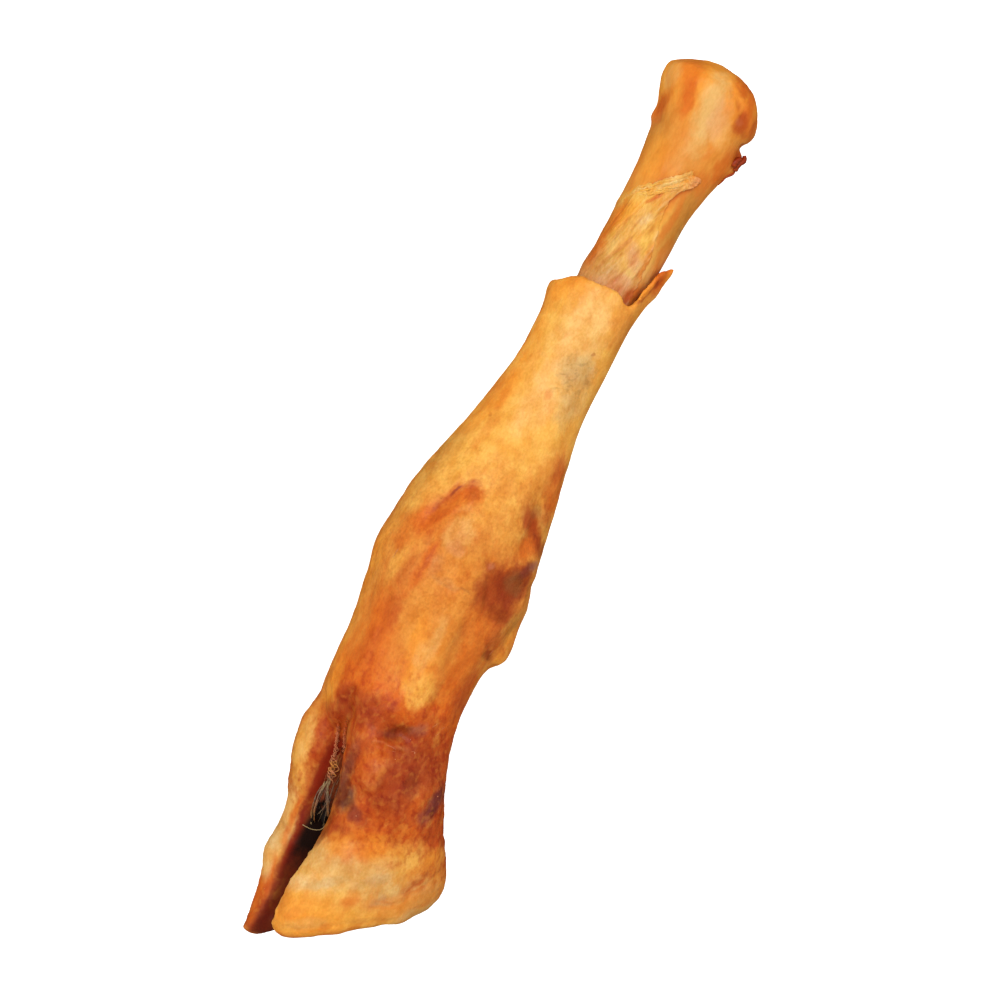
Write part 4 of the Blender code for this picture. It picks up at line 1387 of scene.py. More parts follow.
SKIN_CREASES = (
    # Round the pale swelling of the fetlock
    Crease(0.80, -0.20, ((-0.8, 8.4), (-2.2, 9.0), (-4.1, 9.8), (-6.3, 10.9), (-9.0, 11.6))),
    Crease(0.90, -0.18, ((-0.2, 3.8), (-2.8, 3.6), (-5.1, 5.1), (-7.4, 7.6), (-11.0, 8.6))),
    Crease(0.60, -0.08, SINEW_WRINKLE),
    Crease(0.80, -0.30, ((-12.6, -4.2), (-16.0, -5.4), (-20.2, -7.4), (-23.0, -10.2))),
    Crease(0.90, -0.40, ((-29.0, -12.2), (-30.8, -13.3), (-32.6, -15.2))),
    # Beside the sinews
    Crease(1.20, -0.25, ((-24.0, -1.4), (-34.0, -1.9), (-44.0, -1.0))),
    Crease(1.10, -0.22, ((-26.0, -6.0), (-36.0, -6.3), (-46.0, -7.2))),
    Crease(0.90, -0.22, ((-29.0, 11.6), (-38.0, 9.3), (-47.0, 8.4))),
    # The pastern
    Crease(0.35, 0.26, ((-57.4, 0.4), (-56.9, -1.3), (-56.5, -3.5), (-56.0, -5.8))),
    Crease(0.40, -0.30, ((-57.9, -0.2), (-57.7, -3.0), (-57.0, -6.6))),
    Crease(1.30, -0.75, ((-50.6, 9.6), (-54.0, 8.4), (-57.6, 7.3), (-61.4, 5.8))),
    Crease(0.45, 0.35, ((-55.4, 8.0), (-58.4, 7.0), (-61.2, 5.4))),
    Crease(0.40, 0.30, ((-56.6, 6.6), (-59.4, 5.7), (-62.2, 4.4))),
    Crease(0.80, -0.35, ((-63.0, 2.6), (-67.0, 1.8), (-71.0, 0.4))),
    # The edge of the horn, and its wrinkles at the heel
    Crease(1.20, -0.22, ((-80.4, 0.8), (-78.2, -5.8), (-76.2, -10.6), (-74.0, -15.6), (-71.0, -21.0))),
    Crease(0.80, -0.30, ((-82.4, 12.6), (-84.0, 9.0), (-84.6, 6.4))),
    Crease(0.60, -0.18, (*OUTER_HEEL_WRINKLE, (-77.3, -24.7))),
    Crease(0.50, -0.16, MIDDLE_HEEL_WRINKLE),
    Crease(0.50, -0.15, INNER_HEEL_WRINKLE),
    Crease(0.45, 0.30, ((-98.8, 4.3), (-99.6, 2.4), (-101.2, 0.9), (-103.4, 1.8))),
    Crease(0.55, -0.22, ((-103.0, 0.4), (-100.0, -4.8), (-96.4, -10.6), (-93.2, -15.6), (-89.8, -21.0))),
    # The slit in the cuff
    Crease(0.45, -0.45, ((56.6, -8.9), (54.4, -8.2), (52.2, -7.4))),
)


@dataclass(frozen=True)
class Skin:
    """The skin with the flesh and both claws. Its stretches are places along the leg."""

    voxel: float = 0.52
    rounds: int = 40
    fold_height: float = 0.16
    lump_height: float = 0.30
    wrinkle_height: float = 0.24
    grain_height: float = 0.05
    horn_ring_height: float = 0.11
    jag_height: float = 0.42
    wobble: float = 0.45
    pastern: Place = (-76.0, -48.0)
    joint: Place = (-34.0, 10.0)
    horn_edge: float = -79.8
    horn_edge_slant: float = 0.36
    horn_ring_slant: float = 0.575
    hollow_radius: Place = (9.0, 8.2)
    hollow_start: Place = (-14.0, -12.0)

    @staticmethod
    def evenness(points: np.ndarray) -> np.ndarray:
        """How strongly the surface is smoothed: less at the cuff, the dewclaws, the cleft and the toes.

        Args:
            points: Points of the leg.

        Returns:
            The strengths, from 0 to 1.
        """
        x, y, z = points.T
        cuff = smooth_step(40.0, 46.0, x)
        dewclaw = 0.7 * smooth_step(-11.0, -14.0, y) * band(x, -38.0, -20.0, 2.0)
        cleft = 0.85 * smooth_step(4.5, 2.5, np.abs(z)) * smooth_step(-54.0, -58.0, x)
        horn = 0.45 * smooth_step(-74.0, -80.0, x)
        toes = smooth_step(-92.0, -100.0, x)
        return 1.0 - 0.88 * np.max([cuff, dewclaw, cleft, horn, toes], axis=0)

    def _marked(self, points: np.ndarray, shown: np.ndarray, facing: np.ndarray) -> np.ndarray:
        """How far the swells and creases of the shown side raise the surface, in mm.

        Args:
            points: The surface's points, in the leg's frame.
            shown: The same points as shown ones.
            facing: How far the surface faces the viewer there, from -1 to 1.

        Returns:
            The heights in mm.
        """
        wobble = np.column_stack([rough(points, 2.4, 2, seed) for seed in (11.0, 23.0)])
        bent = shown.copy()
        bent[:, :2] += self.wobble * wobble
        height = sum(mark.heights(bent) for mark in (*SKIN_SWELLS, *SKIN_CREASES))
        outline = sum(mark.heights(shown) for mark in OUTLINE_SWELLS)
        return height * smooth_step(*SHOWN_FACING, facing) + outline * smooth_step(*OUTLINE_FACING, facing)

    def heights(self, points: np.ndarray, normals: np.ndarray) -> np.ndarray:
        """How far the surface is raised.

        Args:
            points: The surface's points, in the leg's frame.
            normals: Their directions.

        Returns:
            The heights in mm.
        """
        x, y, z = points.T
        horn = smooth_step(-1.5, 1.5, self.horn_edge - self.horn_edge_slant * y - x)
        pastern = band(x, *self.pastern, 4.0) * (1 - horn)
        joint = band(x, *self.joint, 8.0)
        in_hollow = smooth_step(*self.hollow_radius, np.hypot(y, z)) * smooth_step(*self.hollow_start, x)
        height = self._marked(points, SPACE.to_shown(points), SPACE.to_shown(normals)[:, 2])
        height += self.fold_height * (1 - horn) * rough(points, (13.0, 3.0, 3.0), 3)
        lumps = rough(points, (6.0, 4.5, 4.5), 2, 5.0)
        height += self.lump_height * (0.25 + 0.75 * pastern + 0.5 * joint) * lumps
        ridged = 0.5 - np.abs(rough(points, (3.2, 2.6, 2.6), 3, 9.0))
        height += self.wrinkle_height * (0.12 + 0.88 * pastern) * ridged
        height += self.grain_height * rough(points, (1.6, 0.8, 0.8), 2, 3.0)
        rings = np.column_stack([x + self.horn_ring_slant * y, y - self.horn_ring_slant * x, z])
        height += self.horn_ring_height * horn * rough(rings, (1.1, 6.0, 3.0), 3, 7.0)
        cleft_edge = band(z, 0.6, 4.2, 0.8) * smooth_step(-78.0, -83.0, x) * smooth_step(-2.0, 1.0, y)
        height += self.jag_height * cleft_edge * rough(points, 1.5, 2, 13.0)
        return height * (1 - in_hollow)

    def build(self) -> bpy.types.Object:
        """Makes and dresses the skin and places it for its node.

        Returns:
            The skin's piece.
        """
        piece = fine_copy("skin", "dried_skin", self.voxel, self.rounds, self.evenness)
        raise_surface(piece, self.heights)
        finish = TissueFinish(
            name="dried skin and horn",
            surface=Surface(piece),
            bands=SKIN_BANDS,
            stains=SKIN_STAINS,
            # Painted shade in the creases and painted highlights on the ridges
            hollow_shade_tint=Tint.BRICK,
            hollow_depth=0.7,
            ridge_highlight_tint=Tint.PEACH,
            speck_share=0.3,
            contrast=0.55,
            streaks=(1.25, 1.0, 1.0),
            roughness=0.46,
            grain_height=0.10,
            grain_sizes=(1.6, 0.7, 0.7),
            softness=0.12,
            marks=SkinMarks(),
        )
        piece.data.materials.clear()
        piece.data.materials.append(finish.material())
        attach(piece, "root")
        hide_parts("skin")
        return piece


BONE_BANDS = (
    (44.0, Tint.HONEY),
    (56.0, Tint.BEIGE),
    (66.0, Tint.GOLD),
    (76.0, Tint.HONEY),
    (88.0, Tint.HONEY),
    (98.0, Tint.AMBER),
    (106.0, Tint.AMBER),
)

BONE_STAINS = (
    Stain(Tint.OCHRE, 84.0, 6.0, 8.0, 3.4, 0.6, -4.0),
    Stain(Tint.AMBER, 80.0, 4.6, 6.0, 3.0, 0.5),
    Stain(Tint.BEIGE, 94.0, -1.6, 10.0, 3.2, 0.9, 8.0),
    Stain(Tint.RUST, 102.0, -6.8, 3.2, 1.5, 0.75, -30.0),
    Stain(Tint.BEIGE, 84.0, -2.4, 6.0, 3.0, 0.25),
    Stain(Tint.PEACH, 91.6, -5.6, 4.4, 2.4, 0.5, 6.0),
    Stain(Tint.PINK, 93.4, -4.4, 5.0, 2.6, 0.35),
    Stain(Tint.ORANGE, 100.2, 5.8, 4.6, 3.2, 0.7),
    Stain(Tint.ORANGE, 94.4, 3.6, 4.6, 1.5, 0.75, 10.0, 0.4),
    Stain(Tint.BEIGE, 97.4, 9.0, 3.6, 2.0, 0.4),
    Stain(Tint.ORANGE, 102.4, -5.2, 3.4, 2.4, 0.75),
    Stain(Tint.ORANGE, 99.6, -8.8, 4.0, 1.8, 0.9),
    Stain(Tint.ORANGE, 95.6, -10.4, 4.0, 2.0, 0.7),
    Stain(Tint.RUST, 95.4, -11.8, 4.0, 1.0, 0.7),
    Stain(Tint.RUST, 94.9, -8.8, 3.0, 1.5, 0.9),
    Stain(Tint.PINK, 95.2, -8.3, 1.0, 0.8, 0.2),
    Stain(Tint.ORANGE, 91.6, 8.0, 4.0, 1.3, 0.6, -6.0),
    Stain(Tint.RUST, 90.8, 8.0, 2.6, 0.7, 0.35, -6.0),
    Stain(Tint.BRICK, 88.5, -12.4, 2.6, 2.0, 0.95),
    Stain(Tint.BLOOD, 88.2, -12.6, 1.2, 1.2, 0.6),
    Stain(Tint.ORANGE, 84.6, -9.6, 5.0, 1.8, 0.75),
    Stain(Tint.ORANGE, 79.0, -7.2, 3.4, 2.0, 0.6),
    Stain(Tint.OCHRE, 70.6, -6.2, 10.0, 2.4, 0.85),
    Stain(Tint.ORANGE, 70.0, -5.2, 8.0, 0.9, 0.5),
    Stain(Tint.PLUM, 64.0, -8.0, 7.0, 0.6, 0.3),
    Stain(Tint.ORANGE, 62.0, -7.4, 5.0, 1.4, 0.5),
    Stain(Tint.MAUVE, 55.0, 1.4, 4.0, 4.0, 0.35),
    Stain(Tint.RUST, 52.0, -5.0, 3.0, 2.0, 0.6),
)

MEMBRANE_BANDS = (
    (46.0, Tint.PINK),
    (54.0, Tint.BEIGE),
    (62.0, Tint.GOLD),
    (72.0, Tint.GOLD),
    (82.0, Tint.PEACH),
)

MEMBRANE_STAINS = (
    Stain(Tint.AMBER, 66.6, 4.4, 5.0, 1.9, 0.85, -26.0),
    Stain(Tint.ORANGE, 63.0, 6.4, 6.0, 1.5, 0.7, -6.0),
    Stain(Tint.ORANGE, 56.6, 6.4, 4.4, 2.0, 0.75),
    Stain(Tint.PEACH, 66.6, 0.6, 4.6, 2.4, 0.55, -30.0),
    Stain(Tint.CREAM, 67.4, 0.0, 2.4, 1.1, 0.35, -40.0),
    Stain(Tint.PEACH, 62.0, 2.6, 4.0, 1.6, 0.5, -25.0),
    Stain(Tint.GOLD, 74.4, 0.6, 2.4, 3.6, 0.7, 30.0),
    Stain(Tint.AMBER, 79.0, -5.8, 3.0, 2.6, 0.85),
    Stain(Tint.ORANGE, 79.4, -6.6, 2.4, 1.6, 0.75),
    # Dark lines: painted shadow under the thick rolled edge and in the folds beside it
    *line_stains(Tint.RUST, 0.4, 0.6, (71.6, -3.2), (73.6, -4.6), (76.2, -6.2)),
    *line_stains(Tint.ORANGE, 0.5, 0.7, (70.6, 1.6), (72.4, 0.2), (73.6, -0.6)),
    Stain(Tint.PINK, 59.0, -1.6, 3.6, 1.8, 0.55, 30.0),
    Stain(Tint.OCHRE, 54.6, 2.8, 3.0, 3.0, 0.5),
    Stain(Tint.MAUVE, 53.4, 1.0, 2.2, 2.0, 0.12),
    Stain(Tint.PINK, 52.8, -1.6, 2.6, 3.0, 0.55),
    Stain(Tint.RUST, 51.4, -4.6, 2.4, 1.3, 0.8),
    Stain(Tint.OCHRE, 56.0, 4.4, 1.6, 1.2, 0.5),
    Stain(Tint.OCHRE, 58.6, 1.8, 1.4, 0.9, 0.5, -30.0),
    Stain(Tint.ORANGE, 60.0, -4.6, 6.0, 1.4, 0.6),
    Stain(Tint.RUST, 56.0, -5.6, 4.0, 0.8, 0.7),
)


BONE_MARKS = (
    Crease(0.9, -0.25, ((92.6, 8.8), (90.6, 8.2), (88.0, 7.4))),
    Swell(95.4, -8.5, 1.2, 1.0, -0.22),
    Crease(1.0, -0.25, ((99.8, -3.6), (97.0, -8.2), (93.0, -10.6))),
    Crease(1.4, 0.22, ((99.0, 1.0), (92.0, 0.4), (84.0, -0.6))),
)


class Dent(NamedTuple):
    """A dent in the bone's side, or a rise where its depth is below 0, in mm and degrees."""

    x: float
    reach: float
    angle: float
    spread: float
    depth: float

    def depths(self, x: np.ndarray, angle: np.ndarray) -> np.ndarray:
        """How far it sinks the surface at places along the bone and angles round it."""
        along, round_it = (x - self.x) / self.reach, (angle - self.angle) / self.spread
        return self.depth * np.exp(-(along**2) - round_it**2)


BONE_DENTS = (
    Dent(91.2, 0.8, 148.0, 12.0, 0.6),
    Dent(88.4, 2.4, 148.0, 28.0, 0.45),
    Dent(88.0, 2.6, -32.0, 28.0, 0.35),
    Dent(68.0, 4.6, -32.0, 26.0, -0.20),
    Dent(68.3, 1.4, -32.0, 30.0, 0.35),
)

# The membrane's upper edge, as angles round the bone and places along it
MEMBRANE_TOP = (
    (-130.0, 66.0),
    (-60.0, 67.0),
    (-30.0, 68.4),
    (-7.0, 69.4),
    (21.0, 72.9),
    (42.0, 75.1),
    (61.0, 77.4),
    (79.0, 79.8),
    (90.0, 81.2),
    (107.0, 79.8),
)
# Its torn side, as places along the bone and angles round it
MEMBRANE_EDGE = (
    (45.0, 106.0),
    (60.0, 98.0),
    (64.0, 89.0),
    (69.0, 80.0),
    (72.5, 80.0),
    (75.0, 90.0),
    (77.5, 104.0),
    (80.0, 108.0),
)
# The angle of its hidden side, and the radius of the bone under it and the length of one degree there, in mm
MEMBRANE_BACK = -126.0
SHAFT_RADIUS = 8.0
MM_PER_DEGREE = 0.13


def along_table(at: np.ndarray, table: Sequence[Place]) -> np.ndarray:
    """The values of a table of places and values, between its rows too."""
    return np.interp(at, *zip(*table))


def under_membrane(points: np.ndarray) -> np.ndarray:
    """How far points of the leg lie under the bone's membrane, from 0 to 1.

    Args:
        points: The points in mm.

    Returns:
        0 outside the membrane and 1 under it, with soft edges.
    """
    angle = angle_round(points)
    below = along_table(angle, MEMBRANE_TOP) - points[:, 0]
    inside = np.minimum(along_table(points[:, 0], MEMBRANE_EDGE) - angle, angle - MEMBRANE_BACK)
    return smooth_step(-0.6, 1.0, below) * smooth_step(-6.0, 4.0, inside)


@dataclass(frozen=True)
class Bone:
    """The cannon bone, bare at its upper end."""

    voxel: float = 0.42
    rounds: int = 30
    sunk: float = 0.38
    fold_height: float = 0.10
    lump_height: float = 0.12
    grain_height: float = 0.03
    head: Place = (86.0, 98.0)
    bare: Place = (46.0, 50.0)

    @staticmethod
    def evenness(points: np.ndarray) -> np.ndarray:
        """How strongly the surface is smoothed: less at the scrap and the spur beside the head."""
        x, y, z = points.T
        return 1.0 - 0.9 * band(x, 85.0, 93.0, 1.5) * smooth_step(8.5, 9.5, np.hypot(y, z))

    def heights(self, points: np.ndarray, normals: np.ndarray) -> np.ndarray:
        """How far the surface is raised.

        Args:
            points: The surface's points, in the leg's frame.
            normals: Their directions.

        Returns:
            The heights in mm.
        """
        x = points[:, 0]
        facing = smooth_step(*SHOWN_FACING, SPACE.to_shown(normals)[:, 2])
        height = sum(mark.heights(SPACE.to_shown(points)) for mark in BONE_MARKS) * facing
        height += self.fold_height * rough(points, (9.0, 2.6, 2.6), 3, 2.0)
        height += self.lump_height * smooth_step(*self.head, x) * rough(points, (3.0, 2.4, 2.4), 3, 4.0)
        height += self.grain_height * rough(points, (2.2, 0.7, 0.7), 2, 6.0)
        height -= self.sunk * under_membrane(points)
        for dent in BONE_DENTS:
            height -= dent.depths(x, angle_round(points))
        return height * smooth_step(*self.bare, x)

    def build(self) -> bpy.types.Object:
        """Makes and dresses the bone and places it for its node.

        Returns:
            The bone's piece.
        """
        piece = fine_copy("bone", "bare_bone", self.voxel, self.rounds, self.evenness)
        raise_surface(piece, self.heights)
        finish = TissueFinish(
            name="dried bone",
            surface=Surface(piece),
            bands=BONE_BANDS,
            stains=BONE_STAINS,
            # Painted shade in the hollows and painted highlights on the rises
            hollow_shade_tint=Tint.RUST,
            hollow_depth=0.5,
            ridge_highlight_tint=Tint.PEACH,
            speck_share=0.15,
            contrast=0.42,
            streaks=(2.2, 1.0, 1.0),
            roughness=0.44,
            grain_height=0.06,
            grain_sizes=(2.6, 0.5, 0.5),
            softness=0.10,
        )
        piece.data.materials.clear()
        piece.data.materials.append(finish.material())
        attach(piece, "root")
        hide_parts("bone")
        return piece


@dataclass(frozen=True)
class Membrane:
    """The thin dried membrane on the bone, with its torn and rolled edge."""

    bone: bpy.types.Object
    start_x: float = 45.0
    end_x: float = 79.0
    # How wide the rolled edge is, at angles round the bone
    roll: tuple[Place, ...] = ((-60.0, 0.8), (0.0, 1.6), (30.0, 2.4), (60.0, 3.8), (95.0, 4.8))
    rows: int = 120
    columns: int = 170
    row_spacing: float = 0.8
    thickness: float = 0.14
    lift: float = 0.14
    least_lift: float = 0.03
    roll_height: float = 0.34
    roll_crease: float = 0.55
    fold_height: float = 0.24
    side_height: float = 0.10
    slant: float = math.radians(20.0)
    raggedness: float = 0.7
    side_raggedness: float = 3.0
    strands: int = 10
    strand_steps: int = 30

    def _edge_at(self, x: np.ndarray) -> np.ndarray:
        """The angle of the torn side, for places along the leg."""
        return along_table(x, MEMBRANE_EDGE) + self.side_raggedness * rough(in_columns(x), 1.3, 3, 31.0)

    def _top_at(self, angle: np.ndarray) -> np.ndarray:
        """How far up the bone it reaches, for angles round it."""
        return along_table(angle, MEMBRANE_TOP) + self.raggedness * rough(in_columns(angle), 9.0, 4, 17.0)

    def _slanted(self, points: np.ndarray) -> np.ndarray:
        """Points in a frame that is slanted as the membrane's folds are.

        Args:
            points: Points of the leg, in mm.

        Returns:
            How far they are along the folds and across them, in mm.
        """
        around = np.radians(angle_round(points)) * SHAFT_RADIUS
        sine, cosine = math.sin(self.slant), math.cos(self.slant)
        return in_columns(points[:, 0] * cosine + around * sine, around * cosine - points[:, 0] * sine)

    def _lifts(
        self,
        points: np.ndarray,
        angles: np.ndarray,
        below: np.ndarray,
        beside: np.ndarray,
    ) -> np.ndarray:
        """How far the sheet stands off the bone.

        Args:
            points: The spots of the bone under it.
            angles: Their angles round the bone, in degrees.
            below: How far they are under the upper edge, in mm.
            beside: How far they are from the torn side, in mm.

        Returns:
            The heights in mm.
        """
        shown = 0.1 + 0.9 * smooth_step(-20.0, 25.0, angles)
        depth = below / along_table(angles, self.roll)
        rolled = np.sin(math.pi * np.clip(0.12 + 0.88 * depth, 0.0, 1.0)) * shown
        creased = rough(in_columns(np.radians(angles) * SHAFT_RADIUS, below), (3.4, 0.62, 1.0), 3, 43.0)
        folds = rough(self._slanted(points), (7.0, 1.2, 1.2), 3, 13.0)
        lift = self.lift + self.fold_height * np.maximum(folds, -0.5) * shown
        lift += rolled * (self.roll_height + self.roll_crease * creased)
        lift += self.side_height * np.exp(-((beside / 0.6) ** 2))
        lift *= 1.0 - 0.85 * smooth_step(8.0, -16.0, angles) * smooth_step(3.0, 0.6, below)
        return np.maximum(lift, self.least_lift)

    def _sheet(self, surface: Surface) -> bpy.types.Object:
        """The sheet itself.

        Args:
            surface: The bone's surface, on which it lies.

        Returns:
            The sheet's piece.
        """
        up = np.linspace(0.0, 1.0, self.rows) ** self.row_spacing
        edges = self._edge_at(self.start_x + up * (self.end_x - self.start_x))
        angles = MEMBRANE_BACK + np.linspace(0.0, 1.0, self.columns)[None] * (edges - MEMBRANE_BACK)[:, None]
        tops = self._top_at(angles.ravel()).reshape(angles.shape)
        places = self.start_x + up[:, None] * (tops - self.start_x)
        spots = [surface.from_outside(x, angle) for x, angle in zip(places.ravel(), angles.ravel())]
        points = np.array([spot for spot, _ in spots])
        away = np.array([direction for _, direction in spots])
        beside = ((edges[:, None] - angles) * MM_PER_DEGREE).ravel()
        lift = self._lifts(points, angles.ravel(), (tops - places).ravel(), beside)
        faces = []
        for row in range(self.rows - 1):
            for k in range(self.columns - 1):
                here = row * self.columns + k
                faces.append((here, here + 1, here + 1 + self.columns, here + self.columns))
        piece = new_piece("bone_membrane", points + away * lift[:, None], faces)
        # The material paints shade in the folds' hollows and highlights on their rises from these lifts
        note_relief(piece.data, lift - lift.mean())
        solid = piece.modifiers.new("thickness", "SOLIDIFY")
        solid.thickness = self.thickness * MM
        solid.offset = -1.0
        apply_modifiers(piece)
        return piece

    def _rolled_edge(self, surface: Surface) -> bpy.types.Object:
        """The fibres that are rolled up along the torn upper edge.

        Args:
            surface: The bone's surface, on which they lie.

        Returns:
            All the fibres as one piece.
        """
        rng = np.random.default_rng(3)
        fibres = Bodies()
        for _ in range(self.strands):
            start, end = rng.uniform(10.0, 52.0), rng.uniform(62.0, 98.0)
            angles = np.linspace(start, end, self.strand_steps)
            sway = rough(in_columns(angles), 14.0, 3, rng.uniform(0, 90))
            down = rng.uniform(0.0, 0.9) * along_table(angles, self.roll)
            places = along_table(angles, MEMBRANE_TOP) - down + self.raggedness * sway
            taper = np.sin(np.linspace(0.08, math.pi - 0.08, len(angles))) ** 0.6
            course = surface.path_round(places, angles, 0.10 + rng.uniform(0.2, 0.5) * taper)
            fibres.add(*tube(course, rng.uniform(0.12, 0.26) * taper + 0.03, 7))
        return fibres.piece("membrane_edge")

    def build(self) -> list[bpy.types.Object]:
        """Makes, dresses and places the sheet and its rolled edge.

        Returns:
            Both pieces.
        """
        surface = Surface(self.bone)
        pieces = [self._sheet(surface), self._rolled_edge(surface)]
        finish = TissueFinish(
            name="dried membrane",
            surface=surface,
            bands=MEMBRANE_BANDS,
            stains=MEMBRANE_STAINS,
            # Painted shade in the folds' hollows and painted highlights on their rises
            hollow_shade_tint=Tint.RUST,
            hollow_depth=0.22,
            ridge_highlight_tint=Tint.CREAM,
            speck_share=0.1,
            contrast=0.8,
            streaks=(2.2, 1.0, 1.0),
            roughness=0.40,
            grain_height=0.12,
            grain_sizes=(2.4, 0.6, 0.6),
            softness=0.16,
            stain_warp=0.8,
        )
        material = finish.material()
        for piece in pieces:
            piece.data.materials.append(material)
            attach(piece, "root")
        return pieces


class Scrap(NamedTuple):
    """A torn scrap: its ends along the bone, its angle round it, how far they stand off, and its radius."""

    ends: Place
    angle: float
    lifts: Place
    radius: float


SCRAPS = (
    Scrap((86.2, 89.9), 147.0, (-0.1, 0.8), 0.85),
    Scrap((86.8, 88.9), 140.0, (0.0, 0.9), 0.75),
    Scrap((85.6, 88.4), 154.0, (0.0, 0.4), 0.60),
    Scrap((83.6, 86.0), 149.0, (-0.1, 0.25), 0.40),
    Scrap((81.8, 83.6), 148.0, (-0.1, 0.15), 0.30),
)
FLESH_BANDS = ((80.0, Tint.RUST), (87.0, Tint.BRICK), (91.0, Tint.BLOOD))


@dataclass(frozen=True)
class Scraps:
    """The torn scraps of dark dried flesh beside the bone's head."""

    bone: bpy.types.Object
    steps: int = 8

    def _course(self, surface: Surface, scrap: Scrap) -> tuple[np.ndarray, np.ndarray]:
        """The bent course of a scrap, which narrows towards its end.

        Args:
            surface: What it lies on.
            scrap: The scrap.

        Returns:
            Its path in the leg's frame, and its radius at each point.
        """
        share = np.linspace(0.0, 1.0, self.steps)
        places, lifts = np.interp(share, (0, 1), scrap.ends), np.interp(share, (0, 1), scrap.lifts)
        bent = scrap.angle + 1.5 * np.sin(1.7 * places)
        uneven = 1.0 + 0.12 * np.sin(5.0 * share + scrap.angle)
        return surface.path_round(places, bent, lifts), scrap.radius * (1.0 - 0.55 * share**3) * uneven

    def build(self) -> bpy.types.Object:
        """Makes the scraps and places them on the bone.

        Returns:
            All the scraps as one piece.
        """
        surface = Surface(self.bone)
        bodies = Bodies()
        for scrap in SCRAPS:
            bodies.add(*tube(*self._course(surface, scrap), 6))
        piece = bodies.piece("torn_scraps")
        piece.data.materials.append(HairFinish("dark dried flesh", FLESH_BANDS, 0.45).material())
        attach(piece, "root")
        return piece


# How many points a strand's path has for each of its turns, or for each mm where it has none
STEPS_PER_TURN = 9.0
STRAIGHT_STEPS_PER_MM = 2.5


class Strand(NamedTuple):
    """A strand on the shown side, in mm. It stands proud by its lift, and winds by its twist and pitch."""

    radius: float
    path: tuple[Place, ...]
    lift: float = 0.0
    twist: float = 0.0
    pitch: float = 1.0

    def course(self, surface: Surface, phase: float) -> tuple[np.ndarray, np.ndarray]:
        """The strand's path and radii.

        Args:
            surface: What it lies on.
            phase: Where its turns start, in radians.

        Returns:
            The path in the leg's frame, and the radius at each of its points.
        """
        corners = np.array(self.path, float)
        lengths = np.concatenate([[0.0], np.cumsum(np.hypot(*np.diff(corners, axis=0).T))])
        steps_per_mm = STEPS_PER_TURN / self.pitch if self.twist else STRAIGHT_STEPS_PER_MM
        count = max(6, int(lengths[-1] * steps_per_mm))
        at = np.linspace(0.0, lengths[-1], count)
        flat = rounded(np.column_stack([np.interp(at, lengths, corner) for corner in corners.T]), 3)
        towards = SPACE.to_shown(np.array([surface.shown_spot(*spot)[0] for spot in flat]))[:, 2]
        for _ in range(6):
            towards[1:-1] = np.maximum(towards[1:-1], (towards[:-2] + towards[2:]) / 2)
        uneven = rough(in_columns(at, phase), 0.7 * self.pitch, 3, phase)
        turns = 2 * math.pi * at / self.pitch + phase + 2.4 * uneven
        reach = self.twist * (0.9 + 0.7 * uneven)
        shown = np.column_stack([flat, towards + self.lift + reach])
        shown[:, 1] += reach * np.cos(turns)
        shown[:, 2] += reach * np.sin(turns)
        taper = np.sin(np.linspace(0.15, math.pi - 0.15, count)) ** 0.35
        return SPACE.from_shown(shown), self.radius * taper


# The strands of the wool, each with how many times it is wound round its path
CURLS = (
    # The two ribbed columns, the curls that join them, and the tuft of wider curls below
    (Strand(0.12, ((-57.4, 8.9), (-59.8, 8.1), (-61.4, 7.5), (-63.8, 6.8)), 0.16, 0.34, 0.84), 2),
    (Strand(0.12, ((-56.4, 7.4), (-58.6, 6.8), (-61.2, 5.7), (-63.6, 5.0)), 0.16, 0.38, 0.90), 2),
    (Strand(0.10, ((-63.0, 6.8), (-64.8, 6.4), (-66.8, 6.2)), 0.14, 0.50, 1.50), 3),
    (Strand(0.11, ((-65.4, 6.0), (-67.4, 5.6), (-70.0, 5.0)), 0.14, 0.68, 1.90), 3),
    (Strand(0.12, ((-66.2, 5.2), (-68.4, 5.0), (-70.4, 4.6)), 0.24, 0.86, 2.60), 2),
)
LOCKS = (
    # The twisted lock, and the pale strands beside the dark gap
    (Strand(0.13, ((-69.2, 5.2), (-71.8, 4.5), (-74.2, 3.2), (-77.4, 1.5)), 0.10, 0.24, 3.40), 4),
    (Strand(0.11, ((-69.8, 5.2), (-73.7, 5.5), (-77.1, 4.9), (-79.8, 3.6)), 0.25, 0.12, 5.00), 2),
    (Strand(0.10, ((-71.4, 5.4), (-74.2, 5.1), (-77.5, 4.8), (-79.6, 3.6)), 0.20, 0.12, 5.00), 2),
    (Strand(0.09, ((-70.6, 5.6), (-74.4, 6.0), (-78.0, 5.3), (-80.6, 4.0)), 0.25, 0.16, 4.00), 2),
)
# How far the core reaches towards the far claw, along the leg
CORE_LEFT = (
    (-84.0, 3.4),
    (-80.0, 4.2),
    (-76.0, 5.0),
    (-72.0, 5.6),
    (-68.0, 6.0),
    (-62.0, 7.0),
    (-56.0, 10.0),
)
# How far forward the hairs reach, along the leg
HAIR_FRONT = ((-80.0, 4.6), (-70.0, 6.6), (-64.0, 7.6), (-58.0, 9.6), (-54.0, 12.4))
# The pale thread across the cleft
THREAD = ((-81.5, 5.6), (-81.6, 3.8), (-81.2, 2.3), (-80.4, 1.3), (-79.2, 1.4))


